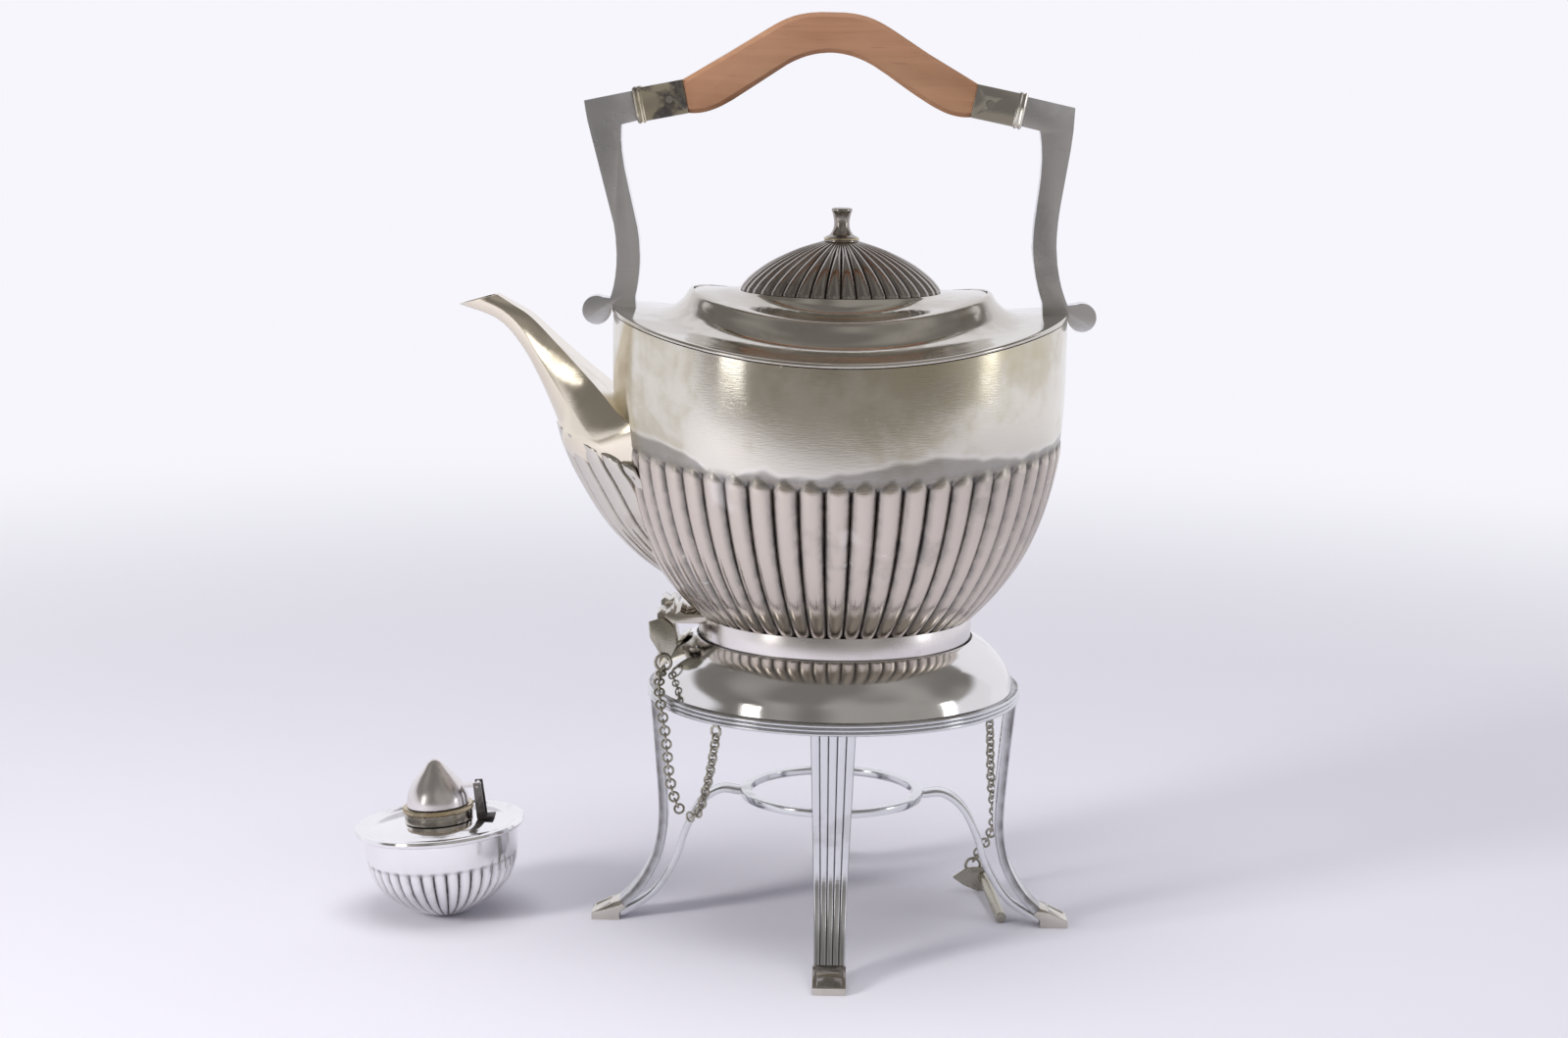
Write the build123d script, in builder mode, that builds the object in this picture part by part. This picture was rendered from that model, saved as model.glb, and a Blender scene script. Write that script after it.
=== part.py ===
from build123d import *
import os
from math import asin, atan2, cos, degrees, hypot, pi, radians, sin, sqrt

os.makedirs("parts", exist_ok=True)

# A half-fluted spirit kettle that tilts on a four-legged stand, with its burner standing beside it.
# Millimetres. The origin is on the table, on the stand's axis; the spout points to -X.

# Driving dimensions: sheet metal and clearances
SHEET = 1.2
SEAT_GAP = 0.05  # between pieces soldered or seated face to face
PIN_CLEARANCE = 0.05  # radial, of a pin in its knuckles
KNUCKLE_GAP = 0.3  # between neighbouring knuckles of one hinge

# Driving dimensions: stand
LEG_TOP_Z = 83.6
RIM_RADIUS = 66.0
RIM_WIDTH = 3.6
RIM_HEIGHT = 4.2
RIM_REEDS = 3
RIM_REED_DEPTH = 0.7
DOME_HEIGHT = 18.0
SEAT_DEPTH = 3.0
SEAT_WIDTH = 8.8
BURNER_RING_BORE = 28.9  # radius
BURNER_RING_WALL = 3.7
BURNER_RING_HEIGHT = 2.6
BURNER_RING_TOP_Z = 48.9
LEG_THICKNESS = 3.2
LEG_REEDS = 5
LEG_REED_DEPTH = 0.5
FOOT_REACH = 85.5  # radius to the tip of a foot
FOOT_WIDTH = 11.3
BRACE_WIDTH = 6.0
BRACE_THICKNESS = 2.4

# Driving dimensions: kettle
KETTLE_RADIUS = 79.0
FOOT_RADIUS = 48.2
FOOT_HEIGHT = 10.6
FOOT_CLEARANCE = 0.6  # radial, between the foot and the lip of the stand
BOWL_HEIGHT = 91.5  # from the foot to the widest level
BAND_HEIGHT = 5.0  # from the widest level to the rim at the front
RIM_DIP = 10.4  # how much higher the rim is at its two ends
FLUTES = 54
FLUTE_DEPTH = 1.3
FLUTE_TOP = 57.3  # above the foot, at the front
FLUTE_DIP = 6.0
COLLAR_RADIUS = 51.1
LID_NECK_RADIUS = 34.9
LID_FLUTES = 40
LID_FLUTE_DEPTH = 0.9
LID_DOME_HEIGHT = 17.0
BEZEL_DEPTH = 6.0
HANDLE_HEIGHT = 71.2  # rim end to the outer corner of the handle
HANDLE_DEPTH = 7.0
HANDLE_LEAN = 4.6  # the handle leans this far to the spout side
GRIP_RISE = 31.3  # outer corner of the handle to the top of the grip
GRIP_THICKNESS = 13.8
GRIP_DEPTH = 11.5

# Driving dimensions: tilting hinges, pins and chains
PIVOT_RADIUS = 59.0  # from the stand's axis to a hinge axis
PIVOT_RISE = 3.8  # above the lip of the stand
PIN_RADIUS = 2.0
PIN_LENGTH = 40.0
KNUCKLE_RADIUS = 3.6
STRAP_WIDTH = 36.0
STAND_KNUCKLE_WIDTH = 12.0
LINK_LENGTH = 4.1
LINK_WIRE = 0.74
LINK_PITCH = 2.28

# Driving dimensions: burner
BURNER_X = -138.0
BURNER_TILT = 4.66  # degrees; it stands on its round bottom
BURNER_RIM_RADIUS = 30.4
BURNER_BOWL_RADIUS = 27.4
BURNER_FLUTES = 36
BURNER_FLUTE_DEPTH = 0.8
WICK_RADIUS = 6.0
SNUFFER_RADIUS = 11.1

# Levels that follow from the driving dimensions
RIM_TOP_Z = LEG_TOP_Z + RIM_HEIGHT
LIP_Z = RIM_TOP_Z + DOME_HEIGHT
LIP_RADIUS = FOOT_RADIUS + FOOT_CLEARANCE
SEAT_Z = LIP_Z - SEAT_DEPTH
KETTLE_Z = SEAT_Z + SEAT_GAP
FOOT_TOP_Z = KETTLE_Z + FOOT_HEIGHT
BOWL_Z = FOOT_TOP_Z + SEAT_GAP
BELLY_Z = BOWL_Z + BOWL_HEIGHT
EDGE_Z = BELLY_Z + BAND_HEIGHT  # kettle rim at the front and back
EDGE_END_Z = EDGE_Z + RIM_DIP  # kettle rim at its two ends
PIVOT_Z = LIP_Z + PIVOT_RISE

SIDES = {"right": 0, "back": 90, "left": 180, "front": 270}


def keep(shape, name):
    """Name a finished piece and write its file."""
    shape.label = name
    export_step(shape, f"parts/{name}.step")


def turned(*outline):
    """Solid turned about the upright axis from a closed outline of (radius, height) points."""
    with BuildPart() as blank:
        with BuildSketch(Plane.XZ):
            with BuildLine():
                Polyline(*outline, close=True)
            make_face()
        revolve(axis=Axis.Z)
    return blank.part


def prism(plane, half_width, *outline):
    """Straight solid of a closed outline, equally deep on both sides of its plane."""
    with BuildPart() as blank:
        with BuildSketch(plane):
            with BuildLine():
                Polyline(*outline, close=True)
            make_face()
        extrude(amount=half_width, both=True)
    return blank.part


def rod(radius, start, end):
    """Round bar between two points."""
    line = Vector(*end) - Vector(*start)
    with BuildPart() as blank:
        with BuildSketch(Plane(origin=start, z_dir=line)):
            Circle(radius)
        extrude(amount=line.length)
    return blank.part


def facet(*corners):
    return Face(Wire.make_polygon(corners))


def skinned(*sections):
    """Solid of flat facets from each section to the next; a section is a plane and its corners.

    A facet with four corners that aren't in one plane is parted along its shorter diagonal.
    """
    rings = [[plane.from_local_coords(Vector(x, y)) for x, y in corners] for plane, corners in sections]
    facets = [facet(*rings[0]), facet(*rings[-1])]
    for low, high in zip(rings, rings[1:]):
        for a, b, c, d in zip(low, low[1:] + low[:1], high[1:] + high[:1], high):
            out_of_plane = (b - a).cross(d - a).normalized().dot(c - a)
            if abs(out_of_plane) < 1e-6:
                facets.append(facet(a, b, c, d))
            elif (c - a).length < (d - b).length:
                facets += [facet(a, b, c), facet(a, c, d)]
            else:
                facets += [facet(a, b, d), facet(b, c, d)]
    return Solid(Shell(facets))


def fluted_ring(radius, depth_share, count, points):
    """Corners of a fluted outline: each flute has a valley and one or two crest points.

    The depth is a share of the radius, so that outlines of one share are similar and their facets flat.
    """
    corners = []
    for i in range(count * points):
        angle = 2 * pi * i / (count * points)
        r = radius * (1 - depth_share) if i % points == 0 else radius
        corners.append((r * cos(angle), r * sin(angle)))
    return corners


# The kettle's rim, shoulder and lid edge are round in plan and saddle shaped: low at the front and
# back and high at the two ends, by a rise that grows with the square of the cosine of the azimuth.
SADDLE_POINTS = 24


def saddle_ring(radius, z_front, rise):
    """Closed curve of one radius that climbs by the rise at the two ends."""
    points = []
    for i in range(SADDLE_POINTS):
        angle = 2 * pi * i / SADDLE_POINTS
        points.append((radius * cos(angle), radius * sin(angle), z_front + rise * cos(angle) ** 2))
    return Edge.make_spline([Vector(*point) for point in points], periodic=True)


def saddle_shell(*rings):
    """Solid skinned through closed saddle rings, the last one joined to the first."""
    loops = [saddle_ring(*ring) for ring in rings]
    skins = [Face.make_surface_from_curves(a, b) for a, b in zip(loops, loops[1:] + loops[:1])]
    return Solid(Shell(skins))


def saddle_block(radius, z_front, rise, height, reach):
    """Block above a saddle surface of this radius, for trimming what crosses it."""
    z_reach = z_front + rise * (reach / radius) ** 2
    with BuildPart() as block:
        with BuildSketch(Plane.XZ):
            with BuildLine():
                Bezier((-reach, z_reach), (0, 2 * z_front - z_reach), (reach, z_reach))
                Polyline((reach, z_reach), (reach, z_front + height), (-reach, z_front + height), (-reach, z_reach))
            make_face()
        extrude(amount=reach, both=True)
    return block.part


# Stand dome: spun sheet, with a raised lip round the ledge that the kettle's foot sits in
dome_base_radius = RIM_RADIUS - RIM_WIDTH + SHEET
dome_crown_radius = LIP_RADIUS + 0.7
dome_belly = (
    dome_crown_radius + 0.66 * (dome_base_radius - dome_crown_radius),
    RIM_TOP_Z + 0.567 * DOME_HEIGHT,
)
seat_bore = FOOT_RADIUS - SEAT_WIDTH

with BuildPart() as stand_dome:
    with BuildSketch(Plane.XZ):
        with BuildLine():
            ThreePointArc((dome_base_radius, RIM_TOP_Z), dome_belly, (dome_crown_radius, LIP_Z))
            Polyline(
                (dome_crown_radius, LIP_Z),
                (LIP_RADIUS, LIP_Z),
                (LIP_RADIUS, SEAT_Z),
                (seat_bore, SEAT_Z),
                (seat_bore, SEAT_Z - SHEET),
                (LIP_RADIUS - SHEET, SEAT_Z - SHEET),
                (dome_belly[0] - SHEET, dome_belly[1] - SHEET),
                (dome_base_radius - SHEET, RIM_TOP_Z),
                (dome_base_radius, RIM_TOP_Z),
            )
        make_face()
    revolve(axis=Axis.Z)
keep(stand_dome.part, "stand_dome")

# The dome's outer form without its hollow, for trimming what is laid on it
with BuildPart() as dome_form:
    with BuildSketch(Plane.XZ):
        with BuildLine():
            ThreePointArc((dome_base_radius, RIM_TOP_Z), dome_belly, (dome_crown_radius, LIP_Z))
            Polyline((dome_crown_radius, LIP_Z), (0, LIP_Z), (0, RIM_TOP_Z), (dome_base_radius, RIM_TOP_Z))
        make_face()
    revolve(axis=Axis.Z)

# Stand rim: a moulding of sharp reeds under the dome
reed_height = RIM_HEIGHT / RIM_REEDS
rim_face = []
for reed in range(RIM_REEDS):
    rim_face.append((RIM_RADIUS - RIM_REED_DEPTH, LEG_TOP_Z + reed * reed_height))
    rim_face.append((RIM_RADIUS, LEG_TOP_Z + (reed + 0.5) * reed_height))
rim_face.append((RIM_RADIUS - RIM_REED_DEPTH, RIM_TOP_Z))

with BuildPart() as stand_rim:
    add(turned((RIM_RADIUS - RIM_WIDTH, LEG_TOP_Z), *rim_face, (RIM_RADIUS - RIM_WIDTH, RIM_TOP_Z)))
keep(stand_rim.part, "stand_rim")

# Burner ring: a flat hoop with a bore for the burner's bowl, which hangs in it by its rim
burner_ring_radius = BURNER_RING_BORE + BURNER_RING_WALL
with BuildPart() as burner_ring:
    with BuildSketch(Plane.XY.offset(BURNER_RING_TOP_Z - BURNER_RING_HEIGHT)):
        Circle(burner_ring_radius)
        Circle(BURNER_RING_BORE, mode=Mode.SUBTRACT)
    extrude(amount=BURNER_RING_HEIGHT)
keep(burner_ring.part, "burner_ring")

# Legs: reeded straps that narrow downwards and sweep out to the feet.
# Each station on the outer face is its inset from the rim, its share of the leg's height, and its width.
LEG_STATIONS = [
    (1.2, 1.0, 15.2),
    (3.3, 0.718, 13.6),
    (4.5, 0.478, 12.2),
    (3.1, 0.329, 11.4),
    (-0.4, 0.221, 10.9),
    (-5.0, 0.139, 10.6),
    (-9.4, 0.086, 10.6),
]


def leg_section(index):
    """Plane and corners of one leg station, square to the outer face."""
    inset, share, width = LEG_STATIONS[index]
    before = LEG_STATIONS[max(index - 1, 0)]
    after = LEG_STATIONS[min(index + 1, len(LEG_STATIONS) - 1)]
    run_out = before[0] - after[0]
    run_down = (before[1] - after[1]) * LEG_TOP_Z
    # The top is cut level, to sit under the rim
    heading = (0, 0, -1) if index == 0 else (run_out, 0, -run_down)
    plane = Plane(origin=(RIM_RADIUS - inset, 0, share * LEG_TOP_Z), x_dir=(0, 1, 0), z_dir=heading)
    corners = [(-width / 2, -LEG_THICKNESS), (width / 2, -LEG_THICKNESS)]
    for reed in range(LEG_REEDS):
        corners.append((width / 2 - reed * width / LEG_REEDS, -LEG_REED_DEPTH))
        corners.append((width / 2 - (reed + 0.5) * width / LEG_REEDS, 0))
    corners.append((-width / 2, -LEG_REED_DEPTH))
    return plane, corners


leg_blank = skinned(*[leg_section(index) for index in range(len(LEG_STATIONS))])

# Feet: cast pads with a sunk panel on the sloping top; the leg ends square against their back
ankle_plane = leg_section(len(LEG_STATIONS) - 1)[0]
ankle_out = ankle_plane.origin
ankle_in = ankle_plane.origin - ankle_plane.y_dir * LEG_THICKNESS
FOOT_HEEL = 75.5
FOOT_TOE_HEIGHT = 2.6
FOOT_PANEL_DEPTH = 0.4
brace_end_z = BRACE_THICKNESS + 0.3
instep = (ankle_out.X + 2.4, ankle_out.Z - 0.8)
toe = (FOOT_REACH, FOOT_TOE_HEIGHT)

with BuildPart() as foot_blank:
    add(
        prism(
            Plane.XZ,
            FOOT_WIDTH / 2,
            (FOOT_HEEL, 0),
            (FOOT_REACH, 0),
            toe,
            instep,
            (ankle_out.X, ankle_out.Z),
            (ankle_in.X, ankle_in.Z),
            (FOOT_HEEL, brace_end_z),
        )
    )
    slope = hypot(toe[0] - instep[0], toe[1] - instep[1])
    panel_plane = Plane(
        origin=((instep[0] + toe[0]) / 2, 0, (instep[1] + toe[1]) / 2),
        x_dir=(toe[0] - instep[0], 0, toe[1] - instep[1]),
        z_dir=(instep[1] - toe[1], 0, toe[0] - instep[0]),
    )
    with BuildSketch(panel_plane):
        Rectangle(slope - 2.2, FOOT_WIDTH - 3.2)
    extrude(amount=-FOOT_PANEL_DEPTH, mode=Mode.SUBTRACT)

# Braces: flat rods from the burner ring over and down to the heels of the feet.
# Each station is its share of the way out, its share of the ring's height, and a heading.
BRACE_STATIONS = [
    (0.0, 1.0, (1, 0, 0)),
    (0.172, 1.01, (1, 0, -0.25)),
    (0.335, 0.9, (0.62, 0, -0.78)),
    (0.457, 0.688, (0.37, 0, -0.93)),
    (0.541, 0.459, (0.42, 0, -0.91)),
    (0.723, 0.2, (0.68, 0, -0.73)),
    (1.0, 0.03, (1, 0, 0)),
]
brace_start = burner_ring_radius + SEAT_GAP
brace_reach = FOOT_HEEL - SEAT_GAP - brace_start
brace_top_z = BURNER_RING_TOP_Z - BURNER_RING_HEIGHT / 2
brace_sections = []
for out, height, heading in BRACE_STATIONS:
    level = max(height * brace_top_z, BRACE_THICKNESS / 2 + 0.2)
    place = Plane(origin=(brace_start + out * brace_reach, 0, level), x_dir=(0, 1, 0), z_dir=heading)
    half, deep = BRACE_WIDTH / 2, BRACE_THICKNESS / 2
    brace_sections.append((place, [(-half, -deep), (half, -deep), (half, deep), (-half, deep)]))
brace_blank = skinned(*brace_sections)

for side, turn in SIDES.items():
    with BuildPart() as leg:
        add(leg_blank, rotation=(0, 0, turn))
    keep(leg.part, f"leg_{side}")
    with BuildPart() as foot:
        add(foot_blank.part, rotation=(0, 0, turn))
    keep(foot.part, f"foot_{side}")
    with BuildPart() as brace:
        add(brace_blank, rotation=(0, 0, turn))
    keep(brace.part, f"brace_{side}")

# Kettle bowl. Its radius shrinks from the belly to the foot by a power of the drop below the belly.
BOWL_POWER = 2.5
bowl_sweep = BOWL_HEIGHT / (1 - (FOOT_RADIUS / KETTLE_RADIUS) ** 2) ** (1 / BOWL_POWER)


def bowl_radius(z):
    """Outer radius of the bowl at this height."""
    drop = max(BELLY_Z - z, 0) / bowl_sweep
    return KETTLE_RADIUS * sqrt(1 - drop**BOWL_POWER)


flute_top_z = KETTLE_Z + FOOT_HEIGHT + FLUTE_TOP
flute_end_z = flute_top_z + FLUTE_DIP
FLUTE_PROUD = 0.3  # the flutes stand out from the plain band by this
FLUTE_LEVELS = [0.0, 0.12, 0.32, 0.62, 1.0]
flute_sections = []
for level in FLUTE_LEVELS:
    z = BOWL_Z + level * (flute_end_z + 1 - BOWL_Z)
    crest = bowl_radius(z) + FLUTE_PROUD * level
    flute_sections.append((Plane.XY.offset(z), fluted_ring(crest, FLUTE_DEPTH / KETTLE_RADIUS, FLUTES, 3)))

# The bowl's outer form without its hollow: flutes below a saddle line and a plain band above it
above_flutes = saddle_block(bowl_radius(flute_top_z), flute_top_z, FLUTE_DIP, 80, KETTLE_RADIUS + 5)
above_edge = saddle_block(KETTLE_RADIUS, EDGE_Z - 1.0, RIM_DIP, 40, KETTLE_RADIUS + 5)
spigot_radius = FOOT_RADIUS - SHEET - SEAT_GAP
KETTLE_BOTTOM_Z = BOWL_Z - 5.5

with BuildPart() as band_form:
    with BuildSketch(Plane.XZ):
        with BuildLine():
            low_z = flute_top_z - 2
            mid_z = (low_z + BELLY_Z) / 2
            ThreePointArc(
                (bowl_radius(low_z), low_z), (bowl_radius(mid_z), mid_z), (KETTLE_RADIUS, BELLY_Z)
            )
            Polyline(
                (KETTLE_RADIUS, BELLY_Z),
                (KETTLE_RADIUS, EDGE_END_Z + 5),
                (0, EDGE_END_Z + 5),
                (0, low_z),
                (bowl_radius(low_z), low_z),
            )
        make_face()
    revolve(axis=Axis.Z)
    add(above_flutes, mode=Mode.INTERSECT)

with BuildPart() as bowl_form:
    add(skinned(*flute_sections))
    add(above_flutes, mode=Mode.SUBTRACT)
    add(band_form.part)
    with BuildSketch(Plane.XY.offset(KETTLE_BOTTOM_Z)):
        Circle(spigot_radius)
    extrude(amount=BOWL_Z - KETTLE_BOTTOM_Z)
    add(above_edge, mode=Mode.SUBTRACT)

# Kettle body: the form hollowed to sheet thickness, with strainer holes behind the spout
wall = SHEET + FLUTE_DEPTH
hollow = [(0, KETTLE_BOTTOM_Z + SHEET), (spigot_radius - 5, KETTLE_BOTTOM_Z + SHEET)]
for level in (0.08, 0.3, 0.62):
    z = BOWL_Z + level * BOWL_HEIGHT
    hollow.append((bowl_radius(z) - wall, z))
hollow.append((KETTLE_RADIUS - SHEET, BELLY_Z))
hollow.append((KETTLE_RADIUS - SHEET, EDGE_END_Z + 6))
hollow.append((0, EDGE_END_Z + 6))

STRAINER_HOLE = 1.6  # radius
STRAINER_PITCH = 9.0
STRAINER_Z = BOWL_Z + 46

with BuildPart() as kettle_body:
    add(bowl_form.part)
    add(turned(*hollow), mode=Mode.SUBTRACT)
    with BuildSketch(Plane(origin=(0, 0, STRAINER_Z), x_dir=(0, 1, 0), z_dir=(-1, 0, 0))):
        with HexLocations(STRAINER_PITCH / 2, 3, 3):
            Circle(STRAINER_HOLE)
    extrude(amount=KETTLE_RADIUS + 10, mode=Mode.SUBTRACT)
keep(kettle_body.part, "kettle_body")

# Kettle foot: a plain band that drops into the lip of the stand
with BuildPart() as kettle_foot:
    with BuildSketch(Plane.XY.offset(KETTLE_Z)):
        Circle(FOOT_RADIUS)
        Circle(FOOT_RADIUS - SHEET, mode=Mode.SUBTRACT)
    extrude(amount=FOOT_HEIGHT)
keep(kettle_foot.part, "kettle_foot")

# Shoulder: the saddle-shaped top, a broad sloping ring that rises to a collar round the lid
collar_z = EDGE_Z + 10.9
rebate = COLLAR_RADIUS - 3.5
shoulder_solid = saddle_shell(
    (KETTLE_RADIUS, EDGE_Z - 0.95, RIM_DIP),
    (KETTLE_RADIUS, EDGE_Z + 0.4, RIM_DIP),
    (COLLAR_RADIUS + 12.9, EDGE_Z + 1.6, 8.3),
    (COLLAR_RADIUS + 5.9, EDGE_Z + 4.6, 7.4),
    (COLLAR_RADIUS + 1.5, collar_z, 6.6),
    (COLLAR_RADIUS, collar_z + 0.4, 6.4),
    (COLLAR_RADIUS, collar_z - 0.9, 6.4),
    (rebate, collar_z - 1.1, 6.0),
    (rebate, collar_z - 2.3, 6.0),
    (COLLAR_RADIUS + 4.9, EDGE_Z + 3.2, 7.2),
    (COLLAR_RADIUS + 12.4, EDGE_Z + 0.3, 8.2),
)
with BuildPart() as shoulder:
    add(shoulder_solid)
keep(shoulder.part, "shoulder")

# Lid: a saddle-shaped flange in the collar's rebate, a flat-bottomed bezel below it, a fluted dome and
# a turned finial
flange_radius = COLLAR_RADIUS - 0.35
flange_z = collar_z - 0.7
neck_top_z = flange_z + 7.3
flange_solid = saddle_shell(
    (flange_radius, flange_z, 6.3),
    (flange_radius, flange_z + 0.9, 6.3),
    (LID_NECK_RADIUS + 3.6, flange_z + 2.1, 5.4),
    (LID_NECK_RADIUS + 0.7, flange_z + 4.4, 3.0),
    (LID_NECK_RADIUS - 0.5, neck_top_z, 0),
    (LID_NECK_RADIUS - 1.7, neck_top_z, 0),
    (LID_NECK_RADIUS + 2.6, flange_z + 1.0, 5.2),
)
with BuildPart() as lid_flange:
    add(flange_solid)
keep(lid_flange.part, "lid_flange")

bezel_radius = rebate - 0.7
bezel_solid = saddle_shell(
    (bezel_radius, flange_z + 0.2, 6.0),
    (bezel_radius, flange_z - BEZEL_DEPTH, 0),
    (bezel_radius - 1, flange_z - BEZEL_DEPTH, 0),
    (bezel_radius - 1, flange_z + 0.25, 5.9),
)
with BuildPart() as lid_bezel:
    add(bezel_solid)
keep(lid_bezel.part, "lid_bezel")

lid_dome_z = neck_top_z + SEAT_GAP
DOME_STATIONS = [(1.0, 0.0), (0.945, 0.28), (0.8, 0.58), (0.56, 0.82), (0.18, 1.0)]
dome_sections = []
for radius_share, height_share in DOME_STATIONS:
    ring = fluted_ring(radius_share * LID_NECK_RADIUS, LID_FLUTE_DEPTH / LID_NECK_RADIUS, LID_FLUTES, 2)
    dome_sections.append((Plane.XY.offset(lid_dome_z + height_share * LID_DOME_HEIGHT), ring))

with BuildPart() as lid_dome:
    add(skinned(*dome_sections))
    add(
        turned(
            (0, lid_dome_z - 1),
            (LID_NECK_RADIUS - 2.2, lid_dome_z - 1),
            (LID_NECK_RADIUS - 2.2, lid_dome_z + 2),
            (0.73 * LID_NECK_RADIUS, lid_dome_z + 0.5 * LID_DOME_HEIGHT),
            (0.3 * LID_NECK_RADIUS, lid_dome_z + 0.85 * LID_DOME_HEIGHT),
            (0, lid_dome_z + 0.85 * LID_DOME_HEIGHT),
        ),
        mode=Mode.SUBTRACT,
    )
keep(lid_dome.part, "lid_dome")

finial_z = lid_dome_z + LID_DOME_HEIGHT + SEAT_GAP
with BuildPart() as lid_finial:
    add(
        turned(
            (0, finial_z),
            (6.0, finial_z),
            (5.6, finial_z + 1.2),
            (3.4, finial_z + 2.6),
            (2.7, finial_z + 6.7),
            (3.65, finial_z + 10.6),
            (3.3, finial_z + 11.4),
            (0, finial_z + 11.4),
        )
    )
keep(lid_finial.part, "lid_finial")

# Lid hinge at the back: two knuckles on the shoulder, one on the lid, and a through pin along X
HINGE_RADIUS = 1.3
HINGE_PIN_RADIUS = 0.65
HINGE_LENGTH = 14.0
HINGE_MIDDLE = 5.8
hinge_y = COLLAR_RADIUS + 1.3
hinge_z = collar_z + 0.4 + HINGE_RADIUS
hinge_bore = HINGE_PIN_RADIUS + PIN_CLEARANCE
outer_knuckle = (HINGE_LENGTH - HINGE_MIDDLE) / 2 - KNUCKLE_GAP

with BuildPart() as lid_leaf:
    with BuildSketch(Plane.YZ.offset(-HINGE_MIDDLE / 2)):
        with Locations((hinge_y, hinge_z)):
            Circle(HINGE_RADIUS)
        with BuildLine():
            Polyline(
                (hinge_y - 6.2, flange_z + 1.6),
                (flange_radius - 0.2, flange_z + 1.0),
                (hinge_y - 0.4, hinge_z - 0.6),
                (hinge_y, hinge_z + HINGE_RADIUS),
                (hinge_y - 6.2, flange_z + 2.4),
                close=True,
            )
        make_face()
        with Locations((hinge_y, hinge_z)):
            Circle(hinge_bore, mode=Mode.SUBTRACT)
    extrude(amount=HINGE_MIDDLE)
keep(lid_leaf.part, "lid_leaf")

with BuildPart() as shoulder_leaf:
    for start in (-HINGE_LENGTH / 2, HINGE_LENGTH / 2 - outer_knuckle):
        with BuildSketch(Plane.YZ.offset(start)):
            with Locations((hinge_y, hinge_z)):
                Circle(HINGE_RADIUS)
            with BuildLine():
                Polyline(
                    (hinge_y + 0.6, hinge_z - HINGE_RADIUS),
                    (COLLAR_RADIUS + 4.6, EDGE_Z + 6.9),
                    (COLLAR_RADIUS + 5.6, EDGE_Z + 6.9),
                    (hinge_y + HINGE_RADIUS, hinge_z),
                    close=True,
                )
            make_face()
            with Locations((hinge_y, hinge_z)):
                Circle(hinge_bore, mode=Mode.SUBTRACT)
        extrude(amount=outer_knuckle)
keep(shoulder_leaf.part, "shoulder_leaf")

with BuildPart() as lid_hinge_pin:
    add(
        rod(
            HINGE_PIN_RADIUS,
            (-HINGE_LENGTH / 2 - 0.3, hinge_y, hinge_z),
            (HINGE_LENGTH / 2 + 0.3, hinge_y, hinge_z),
        )
    )
keep(lid_hinge_pin.part, "lid_hinge_pin")


# Handle. Offsets are from the kettle's side and heights from the high end of its rim.
def lean(height):
    """How far the handle has moved to the spout side at a height above the rim's end."""
    return -0.4 - HANDLE_LEAN * min(max(height / HANDLE_HEIGHT, 0), 1)


def handle_point(side, offset, height):
    """Point of the handle's outline on one side, +1 for the right and -1 for the spout side."""
    return side * (KETTLE_RADIUS + offset) + lean(height), EDGE_END_Z + height


KNOB_RADIUS = 5.0
KNOB_OFFSET = 5.4
ARM_REACH = 12.1  # how far the arms reach in from the kettle's side
ARM_WIDTH = 10.3
ARM_DROP = 1.5  # the middle of the arm's end is this much lower than the handle's outer corner
FERRULE_SLOPE = 0.2  # rise per length towards the middle


def arm_end(side):
    """Middle of an arm's end, the direction along the arm to the grip and the direction up across it."""
    x, z = handle_point(side, -ARM_REACH, HANDLE_HEIGHT - ARM_DROP)
    heading = Vector(-side, 0, FERRULE_SLOPE).normalized()
    upward = Vector(side * FERRULE_SLOPE, 0, 1).normalized()
    return Vector(x, 0, z), heading, upward


for side_name, side in (("left", -1), ("right", 1)):
    middle, heading, upward = arm_end(side)
    arm_top = middle + upward * (ARM_WIDTH / 2)
    arm_bottom = middle - upward * (ARM_WIDTH / 2)
    with BuildPart() as upright:
        with BuildSketch(Plane.XZ):
            with BuildLine():
                outer = [(0.5, 3.2), (-2.0, 12.6), (-2.6, 24.5), (-0.7, 38.0), (3.0, 54.8), (5.5, HANDLE_HEIGHT)]
                inner = [(-7.0, HANDLE_HEIGHT - 8.0), (-8.9, 38.0), (-10.8, 24.5), (-10.2, 12.6), (-8.3, 4.0)]
                Spline(*[handle_point(side, *point) for point in outer])
                Polyline(
                    handle_point(side, *outer[-1]),
                    (arm_top.X, arm_top.Z),
                    (arm_bottom.X, arm_bottom.Z),
                    handle_point(side, *inner[0]),
                )
                Spline(*[handle_point(side, *point) for point in inner])
                Polyline(
                    handle_point(side, *inner[-1]),
                    handle_point(side, -8.3, -0.3),
                    handle_point(side, 0.6, 0.2),
                    handle_point(side, KNOB_OFFSET, 0.2),
                    handle_point(side, KNOB_OFFSET, KNOB_RADIUS - 1.2),
                    handle_point(side, *outer[0]),
                )
            make_face()
        extrude(amount=HANDLE_DEPTH / 2, both=True)
        # The knob at the foot of the upright, beside the kettle's rim
        knob_x, knob_z = handle_point(side, KNOB_OFFSET, -1.0)
        with BuildSketch(Plane.XZ):
            with Locations((knob_x, knob_z)):
                Circle(KNOB_RADIUS)
        extrude(amount=HANDLE_DEPTH / 2, both=True)
        add(rod(KETTLE_RADIUS + SEAT_GAP, (0, 0, BELLY_Z - 20), (0, 0, EDGE_END_Z - 0.2)), mode=Mode.SUBTRACT)
        add(shoulder_solid, mode=Mode.SUBTRACT)
    keep(upright.part, f"handle_upright_{side_name}")

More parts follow.
